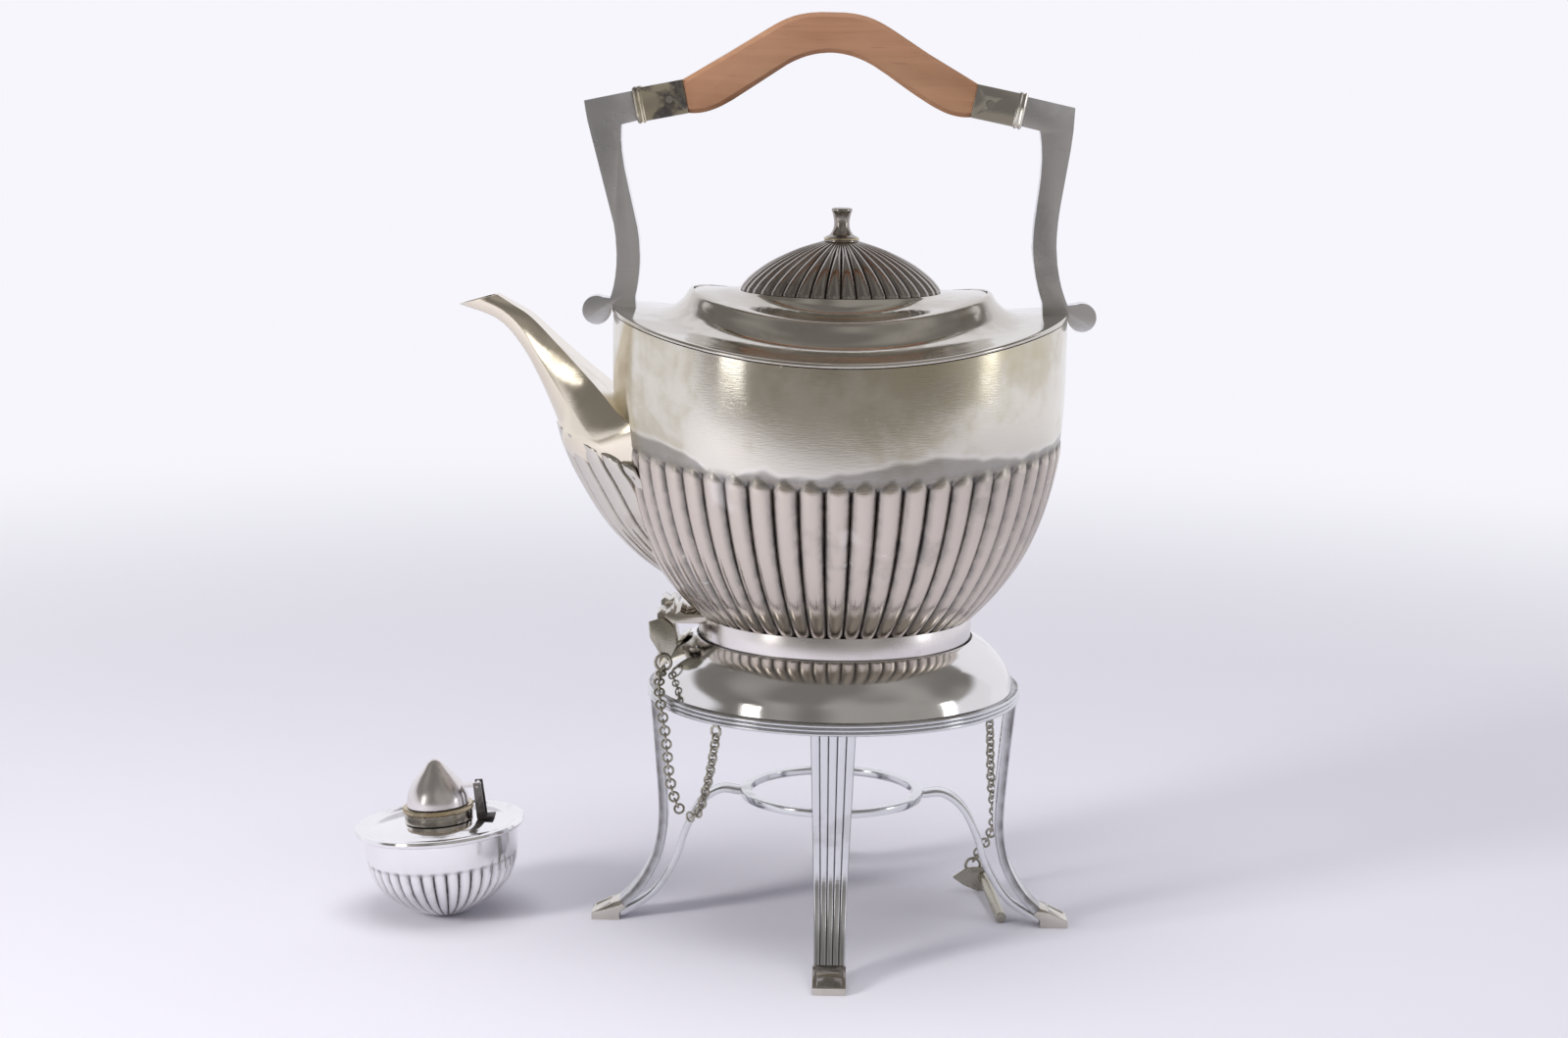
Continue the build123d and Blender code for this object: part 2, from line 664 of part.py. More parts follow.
# Ferrules: sleeves over the tenons of the wooden grip, with a double bead where they meet the uprights
FERRULE_LENGTH = 17.6
FERRULE_WIDTH = 11.6
FERRULE_DEPTH = 12.4
BEAD_LENGTH = 1.5
TENON_LENGTH = 11.0
TENON_WIDTH = 9.2
TENON_DEPTH = 10.0
TENON_GAP = 0.1
RIVET_RADIUS = 0.8


def ferrule_plane(side):
    """Plane across a ferrule at its outer end, looking along it towards the grip; local x is level."""
    middle, heading, upward = arm_end(side)
    return Plane(origin=middle + heading * SEAT_GAP, x_dir=(0, 1, 0), z_dir=heading)


rivet_places = []
for side_name, side in (("left", -1), ("right", 1)):
    base = ferrule_plane(side)
    grip_end = base.offset(FERRULE_LENGTH)
    rivet_centre = grip_end.origin - base.z_dir * (TENON_LENGTH / 2)
    rivet_places.append(rivet_centre)
    with BuildPart() as ferrule:
        with BuildSketch(base):
            Rectangle(FERRULE_DEPTH, FERRULE_WIDTH)
        extrude(amount=FERRULE_LENGTH)
        for bead in range(2):
            with BuildSketch(base.offset(bead * BEAD_LENGTH)):
                Rectangle(FERRULE_DEPTH, FERRULE_WIDTH)
            with BuildSketch(base.offset((bead + 0.5) * BEAD_LENGTH)):
                Rectangle(FERRULE_DEPTH + 1.2, FERRULE_WIDTH + 1.2)
            with BuildSketch(base.offset((bead + 1) * BEAD_LENGTH)):
                Rectangle(FERRULE_DEPTH, FERRULE_WIDTH)
            loft(ruled=True)
        with BuildSketch(grip_end):
            Rectangle(TENON_DEPTH + 2 * TENON_GAP, TENON_WIDTH + 2 * TENON_GAP)
        extrude(amount=-TENON_LENGTH - TENON_GAP, mode=Mode.SUBTRACT)
        add(
            rod(
                RIVET_RADIUS + PIN_CLEARANCE,
                rivet_centre - Vector(0, FERRULE_DEPTH, 0),
                rivet_centre + Vector(0, FERRULE_DEPTH, 0),
            ),
            mode=Mode.SUBTRACT,
        )
    keep(ferrule.part, f"handle_ferrule_{side_name}")

# Grip: one piece of wood, arched, with a tenon at each end
grip_shift = lean(HANDLE_HEIGHT - ARM_DROP)
left_end = ferrule_plane(-1).offset(FERRULE_LENGTH + SEAT_GAP)
right_end = ferrule_plane(1).offset(FERRULE_LENGTH + SEAT_GAP)
end_top = right_end.origin + right_end.y_dir * (FERRULE_WIDTH / 2)
end_bottom = right_end.origin - right_end.y_dir * (FERRULE_WIDTH / 2)
if end_top.Z < end_bottom.Z:
    end_top, end_bottom = end_bottom, end_top
grip_top_z = EDGE_END_Z + HANDLE_HEIGHT + GRIP_RISE
top_reach = end_top.X - grip_shift
bottom_reach = end_bottom.X - grip_shift
top_rise = grip_top_z - end_top.Z
bottom_rise = grip_top_z - GRIP_THICKNESS - end_bottom.Z
# Shares of the reach and of the rise, from the middle to one end
TOP_CURVE = [(0.26, 0.929), (0.43, 0.744), (0.63, 0.466), (0.82, 0.227)]
BOTTOM_CURVE = [(0.257, 0.858), (0.464, 0.56), (0.67, 0.247), (0.84, 0.05)]


def arch(curve, reach, rise, end_z):
    """Points of an arch from its left end over the middle to its right end."""
    half = [(x * reach, end_z + z * rise) for x, z in curve]
    right = [(grip_shift, end_z + rise)] + [(grip_shift + x, z) for x, z in half]
    right.append((grip_shift + reach, end_z))
    left = [(2 * grip_shift - x, z) for x, z in reversed(right[1:])]
    return left + right


with BuildPart() as handle_grip:
    with BuildSketch(Plane.XZ):
        with BuildLine():
            top = Spline(*arch(TOP_CURVE, top_reach, top_rise, end_top.Z))
            bottom = Spline(*arch(BOTTOM_CURVE, bottom_reach, bottom_rise, end_bottom.Z))
            Line(top @ 0, bottom @ 0)
            Line(top @ 1, bottom @ 1)
        make_face()
    extrude(amount=GRIP_DEPTH / 2, both=True)
    long_edges = handle_grip.edges().filter_by(GeomType.BSPLINE)
    chamfer(long_edges, length=1.5)
    for end in (left_end, right_end):
        with BuildSketch(end.offset(0.5)):
            Rectangle(TENON_DEPTH, TENON_WIDTH)
        extrude(amount=-TENON_LENGTH - 0.5)
    for centre in rivet_places:
        add(
            rod(
                RIVET_RADIUS + PIN_CLEARANCE,
                centre - Vector(0, FERRULE_DEPTH, 0),
                centre + Vector(0, FERRULE_DEPTH, 0),
            ),
            mode=Mode.SUBTRACT,
        )
keep(handle_grip.part, "handle_grip")

with BuildPart() as handle_rivets:
    for centre in rivet_places:
        reach = FERRULE_DEPTH / 2 + SEAT_GAP
        add(rod(RIVET_RADIUS, centre - Vector(0, reach, 0), centre + Vector(0, reach, 0)))
        for way in (-1, 1):
            head = centre + Vector(0, way * reach, 0)
            add(rod(1.3, head, head + Vector(0, way * 0.6, 0)))
keep(handle_rivets.part, "handle_rivets")

# Spout. Each station lies in a plane across the spout and is given by three places of its outline: the
# edge of the flat top, the ridge of the side, and the bottom, as offsets out from the kettle's side,
# half widths, and heights above the kettle's foot.
SPOUT_STATIONS = [
    ((40.5, 3.3, 121.4), (44.2, 4.6), (54.2, 117.6)),
    ((34.6, 4.9, 118.0), (37.1, 5.6), (40.8, 112.6)),
    ((28.1, 6.5, 113.9), (30.5, 6.9), (32.8, 104.2)),
    ((19.0, 9.5, 105.2), (23.3, 10.4), (26.3, 93.0)),
    ((5.3, 18.0, 92.2), (13.4, 16.8), (19.8, 78.3)),
    ((-8.4, 33.0, 80.1), (2.9, 28.0), (15.4, 65.6)),
    ((-24.0, 36.0, 74.0), (-14.0, 34.0), (-6.0, 52.0)),
]


def spout_section(top, ridge, bottom, inset, push):
    """One station of the spout's skin, drawn in by an inset and pushed along its plane's normal."""
    top_point = Vector(-KETTLE_RADIUS - top[0], 0, KETTLE_Z + top[2])
    bottom_point = Vector(-KETTLE_RADIUS - bottom[0], 0, KETTLE_Z + bottom[1])
    down = (bottom_point - top_point).normalized()
    length = (bottom_point - top_point).length
    normal = Vector(0, 1, 0).cross(down)
    plane = Plane(origin=top_point + normal * push, x_dir=(0, 1, 0), z_dir=normal)
    if plane.y_dir.dot(down) < 0:
        plane = Plane(origin=plane.origin, x_dir=(0, 1, 0), z_dir=-normal)
    ridge_share = (ridge[0] - top[0]) / (bottom[0] - top[0])
    top_half = top[1] - inset
    ridge_half = ridge[1] - inset
    half_outline = [
        (top_half, inset),
        (ridge_half, ridge_share * length),
        (0.82 * ridge_half, (ridge_share + 0.45 * (1 - ridge_share)) * length - 0.4 * inset),
        (0.48 * ridge_half, (ridge_share + 0.84 * (1 - ridge_share)) * length - 0.8 * inset),
    ]
    corners = list(half_outline)
    corners.append((0, length - inset))
    corners += [(-x, y) for x, y in reversed(half_outline)]
    return plane, corners


# The lower half of the spout is a fluted apron that grows out of the bowl. Each station is its height
# above the kettle's foot, how far its nose stands from the axis, and where and how wide its root is.
APRON_STATIONS = [
    (16.0, 51.0, 30.0, 16.0),
    (23.0, 60.0, 36.0, 22.0),
    (31.1, 70.9, 46.0, 27.0),
    (43.2, 82.4, 55.0, 31.0),
    (58.8, 92.1, 62.0, 34.5),
]
APRON_TOP = (76.8, 98.9, 66.0, 36.0)
APRON_SLOPE = 0.4  # its top line falls towards the bowl by this share
APRON_FLUTES = 11
APRON_SPREAD = 80.0  # degrees to each side of the nose


def apron_corners(nose, root, half_width, inset):
    """Outline of the apron in the plane of a station: x points out, flutes run round the nose."""
    corners = []
    steps = 2 * APRON_FLUTES
    for i in range(steps + 1):
        angle = radians(-APRON_SPREAD + 2 * APRON_SPREAD * i / steps)
        depth = inset if i % 2 else inset + 0.9
        x = root + (nose - root) * cos(angle) ** 1.5 - depth * cos(angle)
        y = half_width * sin(angle) - depth * sin(angle)
        corners.append((x, y))
    inner = root - 14
    corners.append((inner, corners[-1][1]))
    corners.append((inner, corners[0][1]))
    return corners


def apron(inset, rise, lift):
    """The fluted apron, its levels moved up by the lift and its sloping top by the rise."""
    sections = []
    for height, nose, root, half_width in APRON_STATIONS:
        plane = Plane(origin=(0, 0, KETTLE_Z + height + lift), x_dir=(-1, 0, 0), z_dir=(0, 0, 1))
        sections.append((plane, apron_corners(nose, root, half_width, inset)))
    height, nose, root, half_width = APRON_TOP
    top_origin = Vector(-nose, 0, KETTLE_Z + height + rise)
    top_plane = Plane(origin=top_origin, x_dir=(-1, 0, APRON_SLOPE), z_dir=(APRON_SLOPE, 0, 1))
    stretch = hypot(1, APRON_SLOPE)
    corners = [((x - nose) * stretch, y) for x, y in apron_corners(nose, root, half_width, inset)]
    sections.append((top_plane, corners))
    return skinned(*sections)


spout_skin = [spout_section(*station, 0, 0) for station in SPOUT_STATIONS]
# The hollow starts above the mouth, so that the mouth is open
spout_hollow = [spout_section(*SPOUT_STATIONS[0], SHEET, 1)]
spout_hollow += [spout_section(*station, SHEET, 0) for station in SPOUT_STATIONS[1:]]

with BuildPart() as spout:
    add(skinned(*spout_skin))
    add(apron(0, 0, 0))
    add(bowl_form.part, mode=Mode.SUBTRACT)
    add(skinned(*spout_hollow), mode=Mode.SUBTRACT)
    add(apron(SHEET + 0.9, -SHEET, SHEET), mode=Mode.SUBTRACT)
keep(spout.part, "spout")

# Tilting hinges, drawn at the right and turned to their sides. The stand has one knuckle on a leaf
# that is shaped to the dome; the kettle has two, at the ends of a reeded strap from its foot.
KNUCKLE_BORE = PIN_RADIUS + PIN_CLEARANCE
stand_knuckle = STAND_KNUCKLE_WIDTH / 2
kettle_knuckle = stand_knuckle + KNUCKLE_GAP
strap_half = STRAP_WIDTH / 2
LEAF_THICKNESS = 0.8
LEAF_HALF_WIDTH = 9.0
leaf_inner = LIP_RADIUS + 2.5
leaf_outer = dome_base_radius + 0.2
pivot_start = (PIVOT_RADIUS, -strap_half - 1, PIVOT_Z)
pivot_end = (PIVOT_RADIUS, strap_half + 1, PIVOT_Z)
pivot_bore = rod(KNUCKLE_BORE, pivot_start, pivot_end)

with BuildPart() as leaf_skin:
    with BuildSketch(Plane.XZ):
        with BuildLine():
            outer_arc = ThreePointArc(
                (dome_base_radius + LEAF_THICKNESS, RIM_TOP_Z + 0.6),
                (dome_belly[0] + 0.7 * LEAF_THICKNESS, dome_belly[1] + 0.7 * LEAF_THICKNESS),
                (dome_crown_radius, LIP_Z + LEAF_THICKNESS),
            )
            Polyline(outer_arc @ 1, (0, LIP_Z + LEAF_THICKNESS), (0, RIM_TOP_Z + 0.6), outer_arc @ 0)
        make_face()
    revolve(axis=Axis.Z)
    with BuildSketch(Plane.XY.offset(RIM_TOP_Z)):
        with BuildLine():
            middle = (leaf_inner + leaf_outer) / 2
            ThreePointArc((leaf_inner, 0), (middle, LEAF_HALF_WIDTH), (leaf_outer, 0))
            ThreePointArc((leaf_inner, 0), (middle, -LEAF_HALF_WIDTH), (leaf_outer, 0))
        make_face()
    extrude(amount=DOME_HEIGHT + 5, mode=Mode.INTERSECT)
    add(dome_form.part, mode=Mode.SUBTRACT)

web_outline = [
    (PIVOT_RADIUS - 2.9, PIVOT_Z - 2.0),
    (PIVOT_RADIUS + 2.9, PIVOT_Z - 2.0),
    (PIVOT_RADIUS + 3.6, RIM_TOP_Z + 6),
    (PIVOT_RADIUS - 5.0, RIM_TOP_Z + 9),
]
knuckle_start = (PIVOT_RADIUS, -stand_knuckle, PIVOT_Z)
knuckle_end = (PIVOT_RADIUS, stand_knuckle, PIVOT_Z)

with BuildPart() as stand_lug_blank:
    add(prism(Plane.XZ, stand_knuckle, *web_outline))
    add(rod(KNUCKLE_RADIUS, knuckle_start, knuckle_end))
    add(leaf_skin.part)
    add(dome_form.part, mode=Mode.SUBTRACT)
    add(pivot_bore, mode=Mode.SUBTRACT)

STRAP_THICKNESS = 3.2
STRAP_REEDS = 3
strap_bottom_z = PIVOT_Z + 2.1
strap_top_z = strap_bottom_z + STRAP_THICKNESS
strap_face = []
for reed in range(STRAP_REEDS):
    strap_face.append((PIVOT_RADIUS + 1.8 - 3.4 * reed, strap_top_z + 1.1))
    strap_face.append((PIVOT_RADIUS + 0.1 - 3.4 * reed, strap_top_z))

with BuildPart() as kettle_lug_blank:
    add(
        prism(
            Plane.XZ,
            strap_half,
            (FOOT_RADIUS - 8, strap_bottom_z),
            (PIVOT_RADIUS + 2.9, strap_bottom_z),
            (PIVOT_RADIUS + 3.0, strap_top_z),
            *strap_face,
            (FOOT_RADIUS - 8, strap_top_z),
        )
    )
    add(
        rod(KNUCKLE_RADIUS, (PIVOT_RADIUS, -strap_half, PIVOT_Z), (PIVOT_RADIUS, strap_half, PIVOT_Z))
    )
    # Room for the stand's knuckle, also when the kettle tilts
    with BuildSketch(Plane.XZ):
        with Locations((PIVOT_RADIUS, PIVOT_Z)):
            Circle(KNUCKLE_RADIUS + 0.4)
        with Locations((PIVOT_RADIUS + 3, PIVOT_Z)):
            Rectangle(6 + KNUCKLE_RADIUS, 20)
    extrude(amount=kettle_knuckle, both=True, mode=Mode.SUBTRACT)
    add(pivot_bore, mode=Mode.SUBTRACT)
    with BuildSketch(Plane.XY.offset(KETTLE_Z)):
        Circle(FOOT_RADIUS + SEAT_GAP)
    extrude(amount=FOOT_HEIGHT + SEAT_GAP, mode=Mode.SUBTRACT)

for side in ("left", "back"):
    with BuildPart() as stand_lug:
        add(stand_lug_blank.part, rotation=(0, 0, SIDES[side]))
    keep(stand_lug.part, f"stand_lug_{side}")
    with BuildPart() as kettle_lug:
        add(kettle_lug_blank.part, rotation=(0, 0, SIDES[side]))
        add(bowl_form.part, mode=Mode.SUBTRACT)
    keep(kettle_lug.part, f"kettle_lug_{side}")

# Hinge pin: a rod with a leaf-shaped head and a ring that the chain hangs from
HEAD_THICKNESS = 1.6
HEAD_OUTLINE = [(1.6, -11.4), (4.4, -5.6), (3.6, 0.6), (-1.0, 4.4), (-6.0, 2.8), (-5.4, -3.0), (-2.4, -7.6)]
PIN_RING_RADIUS = 3.3
PIN_RING_WIRE = 1.2
PIN_RING_THICKNESS = 1.0
RING_CORNERS = 8


def octagon_ring(plane, outer_radius, wire, thickness):
    """Flat ring with eight corners, centred on its plane."""
    with BuildPart() as ring:
        with BuildSketch(plane):
            RegularPolygon(outer_radius, RING_CORNERS, rotation=180 / RING_CORNERS)
            RegularPolygon(
                outer_radius - wire, RING_CORNERS, rotation=180 / RING_CORNERS, mode=Mode.SUBTRACT
            )
        extrude(amount=thickness / 2, both=True)
    return ring.part


def pin_solid():
    """The pin at the origin: its rod along +Y from a head whose outline is in X and Z."""
    with BuildPart() as pin:
        with BuildSketch(Plane.XZ.offset(HEAD_THICKNESS)):
            with BuildLine():
                Polyline(*HEAD_OUTLINE, close=True)
            make_face()
        extrude(amount=-HEAD_THICKNESS)
        add(rod(PIN_RADIUS, (0, 0, 0), (0, PIN_LENGTH, 0)))
    return pin.part


ring_centre = (-0.6, -HEAD_THICKNESS - PIN_RING_THICKNESS / 2 - SEAT_GAP, -11.4)
ring_plane = Plane(origin=ring_centre, z_dir=(0, -1, 0))
pin_blank = pin_solid()
pin_ring_blank = octagon_ring(ring_plane, PIN_RING_RADIUS, PIN_RING_WIRE, PIN_RING_THICKNESS)
pin_start_y = -strap_half - 0.6
seated = Location((-PIVOT_RADIUS, pin_start_y, PIVOT_Z))

with BuildPart() as hinge_pin:
    with Locations(seated):
        add(pin_blank)
keep(hinge_pin.part, "hinge_pin")

with BuildPart() as pin_ring:
    with Locations(seated):
        add(pin_ring_blank)
keep(pin_ring.part, "pin_ring")

# The second pin lies on the table beside the right leg, leaning on the lower edge of its head
LOOSE_PIN_HEADING = -83.4  # degrees, of its rod in plan
LOOSE_PIN_ROLL = -80.0  # degrees, about its rod
LOOSE_PIN_X = 57.2
LOOSE_PIN_Y = 38.4
roll_sin, roll_cos = sin(radians(LOOSE_PIN_ROLL)), cos(radians(LOOSE_PIN_ROLL))
head_drop = max(x * roll_sin - z * roll_cos for x, z in HEAD_OUTLINE)
droop_angle = degrees(asin((head_drop - PIN_RADIUS) / PIN_LENGTH))
laid = Location((LOOSE_PIN_X, LOOSE_PIN_Y, head_drop + 0.1))
laid = laid * Location((0, 0, 0), (0, 0, LOOSE_PIN_HEADING - 90))
laid = laid * Location((0, 0, 0), (-droop_angle, 0, 0)) * Location((0, 0, 0), (0, LOOSE_PIN_ROLL, 0))

with BuildPart() as loose_pin:
    with Locations(laid):
        add(pin_blank)
keep(loose_pin.part, "loose_pin")

# Its ring has swung up beside the head
swung = Location((4.9, 0, 8.4))
with BuildPart() as loose_pin_ring:
    with Locations(laid * swung):
        add(pin_ring_blank)
keep(loose_pin_ring.part, "loose_pin_ring")

# Eyelets: small rings soldered under the rim, where the chains are hooked in
EYELET_RADIUS = 2.4
EYELET_WIRE = 0.8
EYELET_LEFT = -127.9  # degrees, azimuth
EYELET_RIGHT = 30.1
octagon_flat = cos(radians(180 / RING_CORNERS))
eyelet_z = LEG_TOP_Z - SEAT_GAP - EYELET_RADIUS * octagon_flat


def outward(azimuth):
    """Level direction out from the stand's axis."""
    return Vector(cos(radians(azimuth)), sin(radians(azimuth)), 0)


def eyelet_centre(azimuth):
    return outward(azimuth) * (RIM_RADIUS - RIM_REED_DEPTH - EYELET_WIRE / 2) + Vector(0, 0, eyelet_z)


for name, azimuth in (("eyelet_left", EYELET_LEFT), ("eyelet_right", EYELET_RIGHT)):
    eyelet_plane = Plane(origin=eyelet_centre(azimuth), x_dir=(0, 0, 1), z_dir=outward(azimuth))
    with BuildPart() as eyelet:
        add(octagon_ring(eyelet_plane, EYELET_RADIUS, EYELET_WIRE, EYELET_WIRE))
    keep(eyelet.part, name)

# Chains: flat rings, each turned a quarter turn from the one before, on a hand-laid route. The first
# link hangs with the ring or eyelet that carries it in its hole.
link_hole = (LINK_LENGTH / 2 - LINK_WIRE) * octagon_flat
eyelet_wire_radius = (EYELET_RADIUS - EYELET_WIRE / 2) * octagon_flat
ring_wire_radius = (PIN_RING_RADIUS - PIN_RING_WIRE / 2) * octagon_flat


def hooked(wire_centre, wire, direction):
    """Centre of a link whose hole is hooked over a wire and that hangs away in a direction."""
    return tuple(wire_centre + Vector(*direction).normalized() * (link_hole - 0.6 * wire - 0.08))


def chain(route, first_face, last_face=None):
    """Links strung along a smooth curve; the faces of the first and last link may be given."""
    path = Spline(*route)
    count = round(path.length / LINK_PITCH)
    face = Vector(*first_face)
    places = []
    for i in range(count + 1):
        along = path % (i / count)
        face = (face - along * face.dot(along)).normalized()
        places.append((path @ (i / count), along, face))
    # What is missing between the last link's face and the wanted one is spread over the chain as twist
    twist = 0
    if last_face:
        across = along.cross(face)
        wanted = Vector(*last_face)
        missing = degrees(atan2(wanted.dot(across), wanted.dot(face))) - 90 * count
        twist = (missing + 90) % 180 - 90
    links = []
    for i, (centre, along, face) in enumerate(places):
        turn = radians(90 * i + twist * i / count)
        link_face = face * cos(turn) + along.cross(face) * sin(turn)
        link_plane = Plane(origin=centre, x_dir=along, z_dir=link_face)
        links.append(octagon_ring(link_plane, LINK_LENGTH / 2, LINK_WIRE, LINK_WIRE))
    return links


down = Vector(0, 0, -1)
pin_ring_wire = (seated * Location(ring_centre)).position + down * ring_wire_radius
loose_ring_up = Vector(0.3, 0, 1).normalized()
loose_ring_wire = (laid * swung * Location(ring_centre)).position + loose_ring_up * ring_wire_radius
left_eyelet_wire = eyelet_centre(EYELET_LEFT) + down * eyelet_wire_radius
right_eyelet_wire = eyelet_centre(EYELET_RIGHT) + down * eyelet_wire_radius

LEFT_PIN_ROUTE = [
    hooked(pin_ring_wire, PIN_RING_WIRE, (0, -0.85, -0.5)),
    (-60.6, -26.6, 93.2),
    (-60.3, -30.9, 89.8),
    (-59.6, -33.9, 85.4),
    (-58.6, -35.4, 80.6),
    (-57.3, -36.6, 71.0),
    (-56.4, -37.1, 62.5),
    (-54.9, -38.2, 55.8),
    (-52.6, -40.3, 51.0),
]
LEFT_STAND_ROUTE = [
    hooked(left_eyelet_wire, EYELET_WIRE, down),
    (-40.7, -52.0, 73.2),
    (-42.6, -50.1, 62.4),
    (-44.0, -48.6, 56.9),
    (-45.8, -46.7, 51.6),
    (-48.6, -44.1, 49.2),
]
RIGHT_ROUTE = [
    hooked(right_eyelet_wire, EYELET_WIRE, down),
    (58.0, 34.0, 64.0),
    (59.4, 36.0, 40.0),
    (60.0, 38.6, 24.0),
    (56.6, 40.2, 16.6),
    hooked(loose_ring_wire, PIN_RING_WIRE, (0.3, 0, 1)),
]
with BuildPart() as chain_left_pin_side:
    add(chain(LEFT_PIN_ROUTE, (1, 0, 0)))
keep(chain_left_pin_side.part, "chain_left_pin_side")

with BuildPart() as chain_left_stand_side:
    add(chain(LEFT_STAND_ROUTE, outward(EYELET_LEFT + 90)))
keep(chain_left_stand_side.part, "chain_left_stand_side")

with BuildPart() as chain_right:
    add(chain(RIGHT_ROUTE, outward(EYELET_RIGHT + 90), (-loose_ring_up.Z, 0, loose_ring_up.X)))
keep(chain_right.part, "chain_right")

# Burner, drawn upright and then leaned over on its round bottom
BURNER_FLAT = 4.0
BURNER_FLUTE_TOP = 20.5
BURNER_RIM_Z = 31.3
BOWL_STATIONS = [(0.15, 0.0), (0.34, 1.4), (0.66, 6.3), (0.87, 12.2), (0.975, BURNER_FLUTE_TOP)]
burner_lift = BURNER_FLAT * sin(radians(BURNER_TILT))
burner_place = Location((BURNER_X, 0, burner_lift), (0, -BURNER_TILT, 0))
bowl_sections = []
for share, height in BOWL_STATIONS:
    depth_share = BURNER_FLUTE_DEPTH / BURNER_BOWL_RADIUS
    ring = fluted_ring(share * BURNER_BOWL_RADIUS, depth_share, BURNER_FLUTES, 2)
    bowl_sections.append((Plane.XY.offset(height), ring))
bowl_wall = SHEET + BURNER_FLUTE_DEPTH


def set_down(shape, name):
    """Lean a burner piece over with the burner and keep it."""
    with BuildPart() as piece:
        with Locations(burner_place):
            add(shape)
    keep(piece.part, name)


with BuildPart() as burner_bowl:
    add(skinned(*bowl_sections))
    add(
        turned(
            (0, BURNER_FLUTE_TOP),
            (0.965 * BURNER_BOWL_RADIUS, BURNER_FLUTE_TOP),
            (BURNER_BOWL_RADIUS, BURNER_FLUTE_TOP + 6.5),
            (BURNER_BOWL_RADIUS, BURNER_RIM_Z),
            (0, BURNER_RIM_Z),
        )
    )
    add(
        turned(
            (0, bowl_wall),
            (0.15 * BURNER_BOWL_RADIUS, bowl_wall),
            (0.66 * BURNER_BOWL_RADIUS - bowl_wall, 6.3 + 0.6 * bowl_wall),
            (0.95 * BURNER_BOWL_RADIUS - bowl_wall, BURNER_FLUTE_TOP - 3),
            (BURNER_BOWL_RADIUS - SHEET, BURNER_FLUTE_TOP + 6.5),
            (BURNER_BOWL_RADIUS - SHEET, BURNER_RIM_Z + 1),
            (0, BURNER_RIM_Z + 1),
        ),
        mode=Mode.SUBTRACT,
    )
set_down(burner_bowl.part, "burner_bowl")

# The burner's top plate: a rolled rim, a shallow groove and a slight rise to the wick's collar
plate_z = BURNER_RIM_Z + SEAT_GAP
collar_radius = SNUFFER_RADIUS + 1.6
with BuildPart() as burner_top:
    add(
        turned(
            (BURNER_BOWL_RADIUS, plate_z),
            (BURNER_RIM_RADIUS - 0.5, plate_z),
            (BURNER_RIM_RADIUS, plate_z + 1.4),
            (BURNER_RIM_RADIUS - 1.4, plate_z + 2.7),
            (BURNER_RIM_RADIUS - 5.6, plate_z + 1.7),
            (WICK_RADIUS + SHEET + SEAT_GAP, plate_z + 3.3),
            (WICK_RADIUS + SHEET + SEAT_GAP, plate_z + 2.3),
            (BURNER_RIM_RADIUS - 5.6, plate_z),
        )
    )
set_down(burner_top.part, "burner_top")

collar_base_z = plate_z + 3.3 + SEAT_GAP
COLLAR_HEIGHT = 3.4
with BuildPart() as burner_collar:
    with BuildSketch(Plane.XY.offset(collar_base_z)):
        Circle(collar_radius - 0.4)
        Circle(collar_radius - 2.0, mode=Mode.SUBTRACT)
    extrude(amount=COLLAR_HEIGHT)
set_down(burner_collar.part, "burner_collar")

wick_ring_z = collar_base_z + COLLAR_HEIGHT + SEAT_GAP
WICK_RING_HEIGHT = 1.9
with BuildPart() as wick_ring:
    with BuildSketch(Plane.XY.offset(wick_ring_z)):
        RegularPolygon(collar_radius + 0.1, 48)
        Circle(WICK_RADIUS + SHEET + SEAT_GAP, mode=Mode.SUBTRACT)
    extrude(amount=WICK_RING_HEIGHT)
set_down(wick_ring.part, "wick_ring")

wick_top_z = wick_ring_z + WICK_RING_HEIGHT + 3.0
with BuildPart() as wick_tube:
    with BuildSketch(Plane.XY.offset(8)):
        Circle(WICK_RADIUS + SHEET)
        Circle(WICK_RADIUS, mode=Mode.SUBTRACT)
    extrude(amount=wick_top_z - 2 - 8)
set_down(wick_tube.part, "wick_tube")

with BuildPart() as wick:
    with BuildSketch(Plane.XY.offset(6)):
        Circle(WICK_RADIUS - SEAT_GAP)
    extrude(amount=wick_top_z - 6)
set_down(wick.part, "wick")

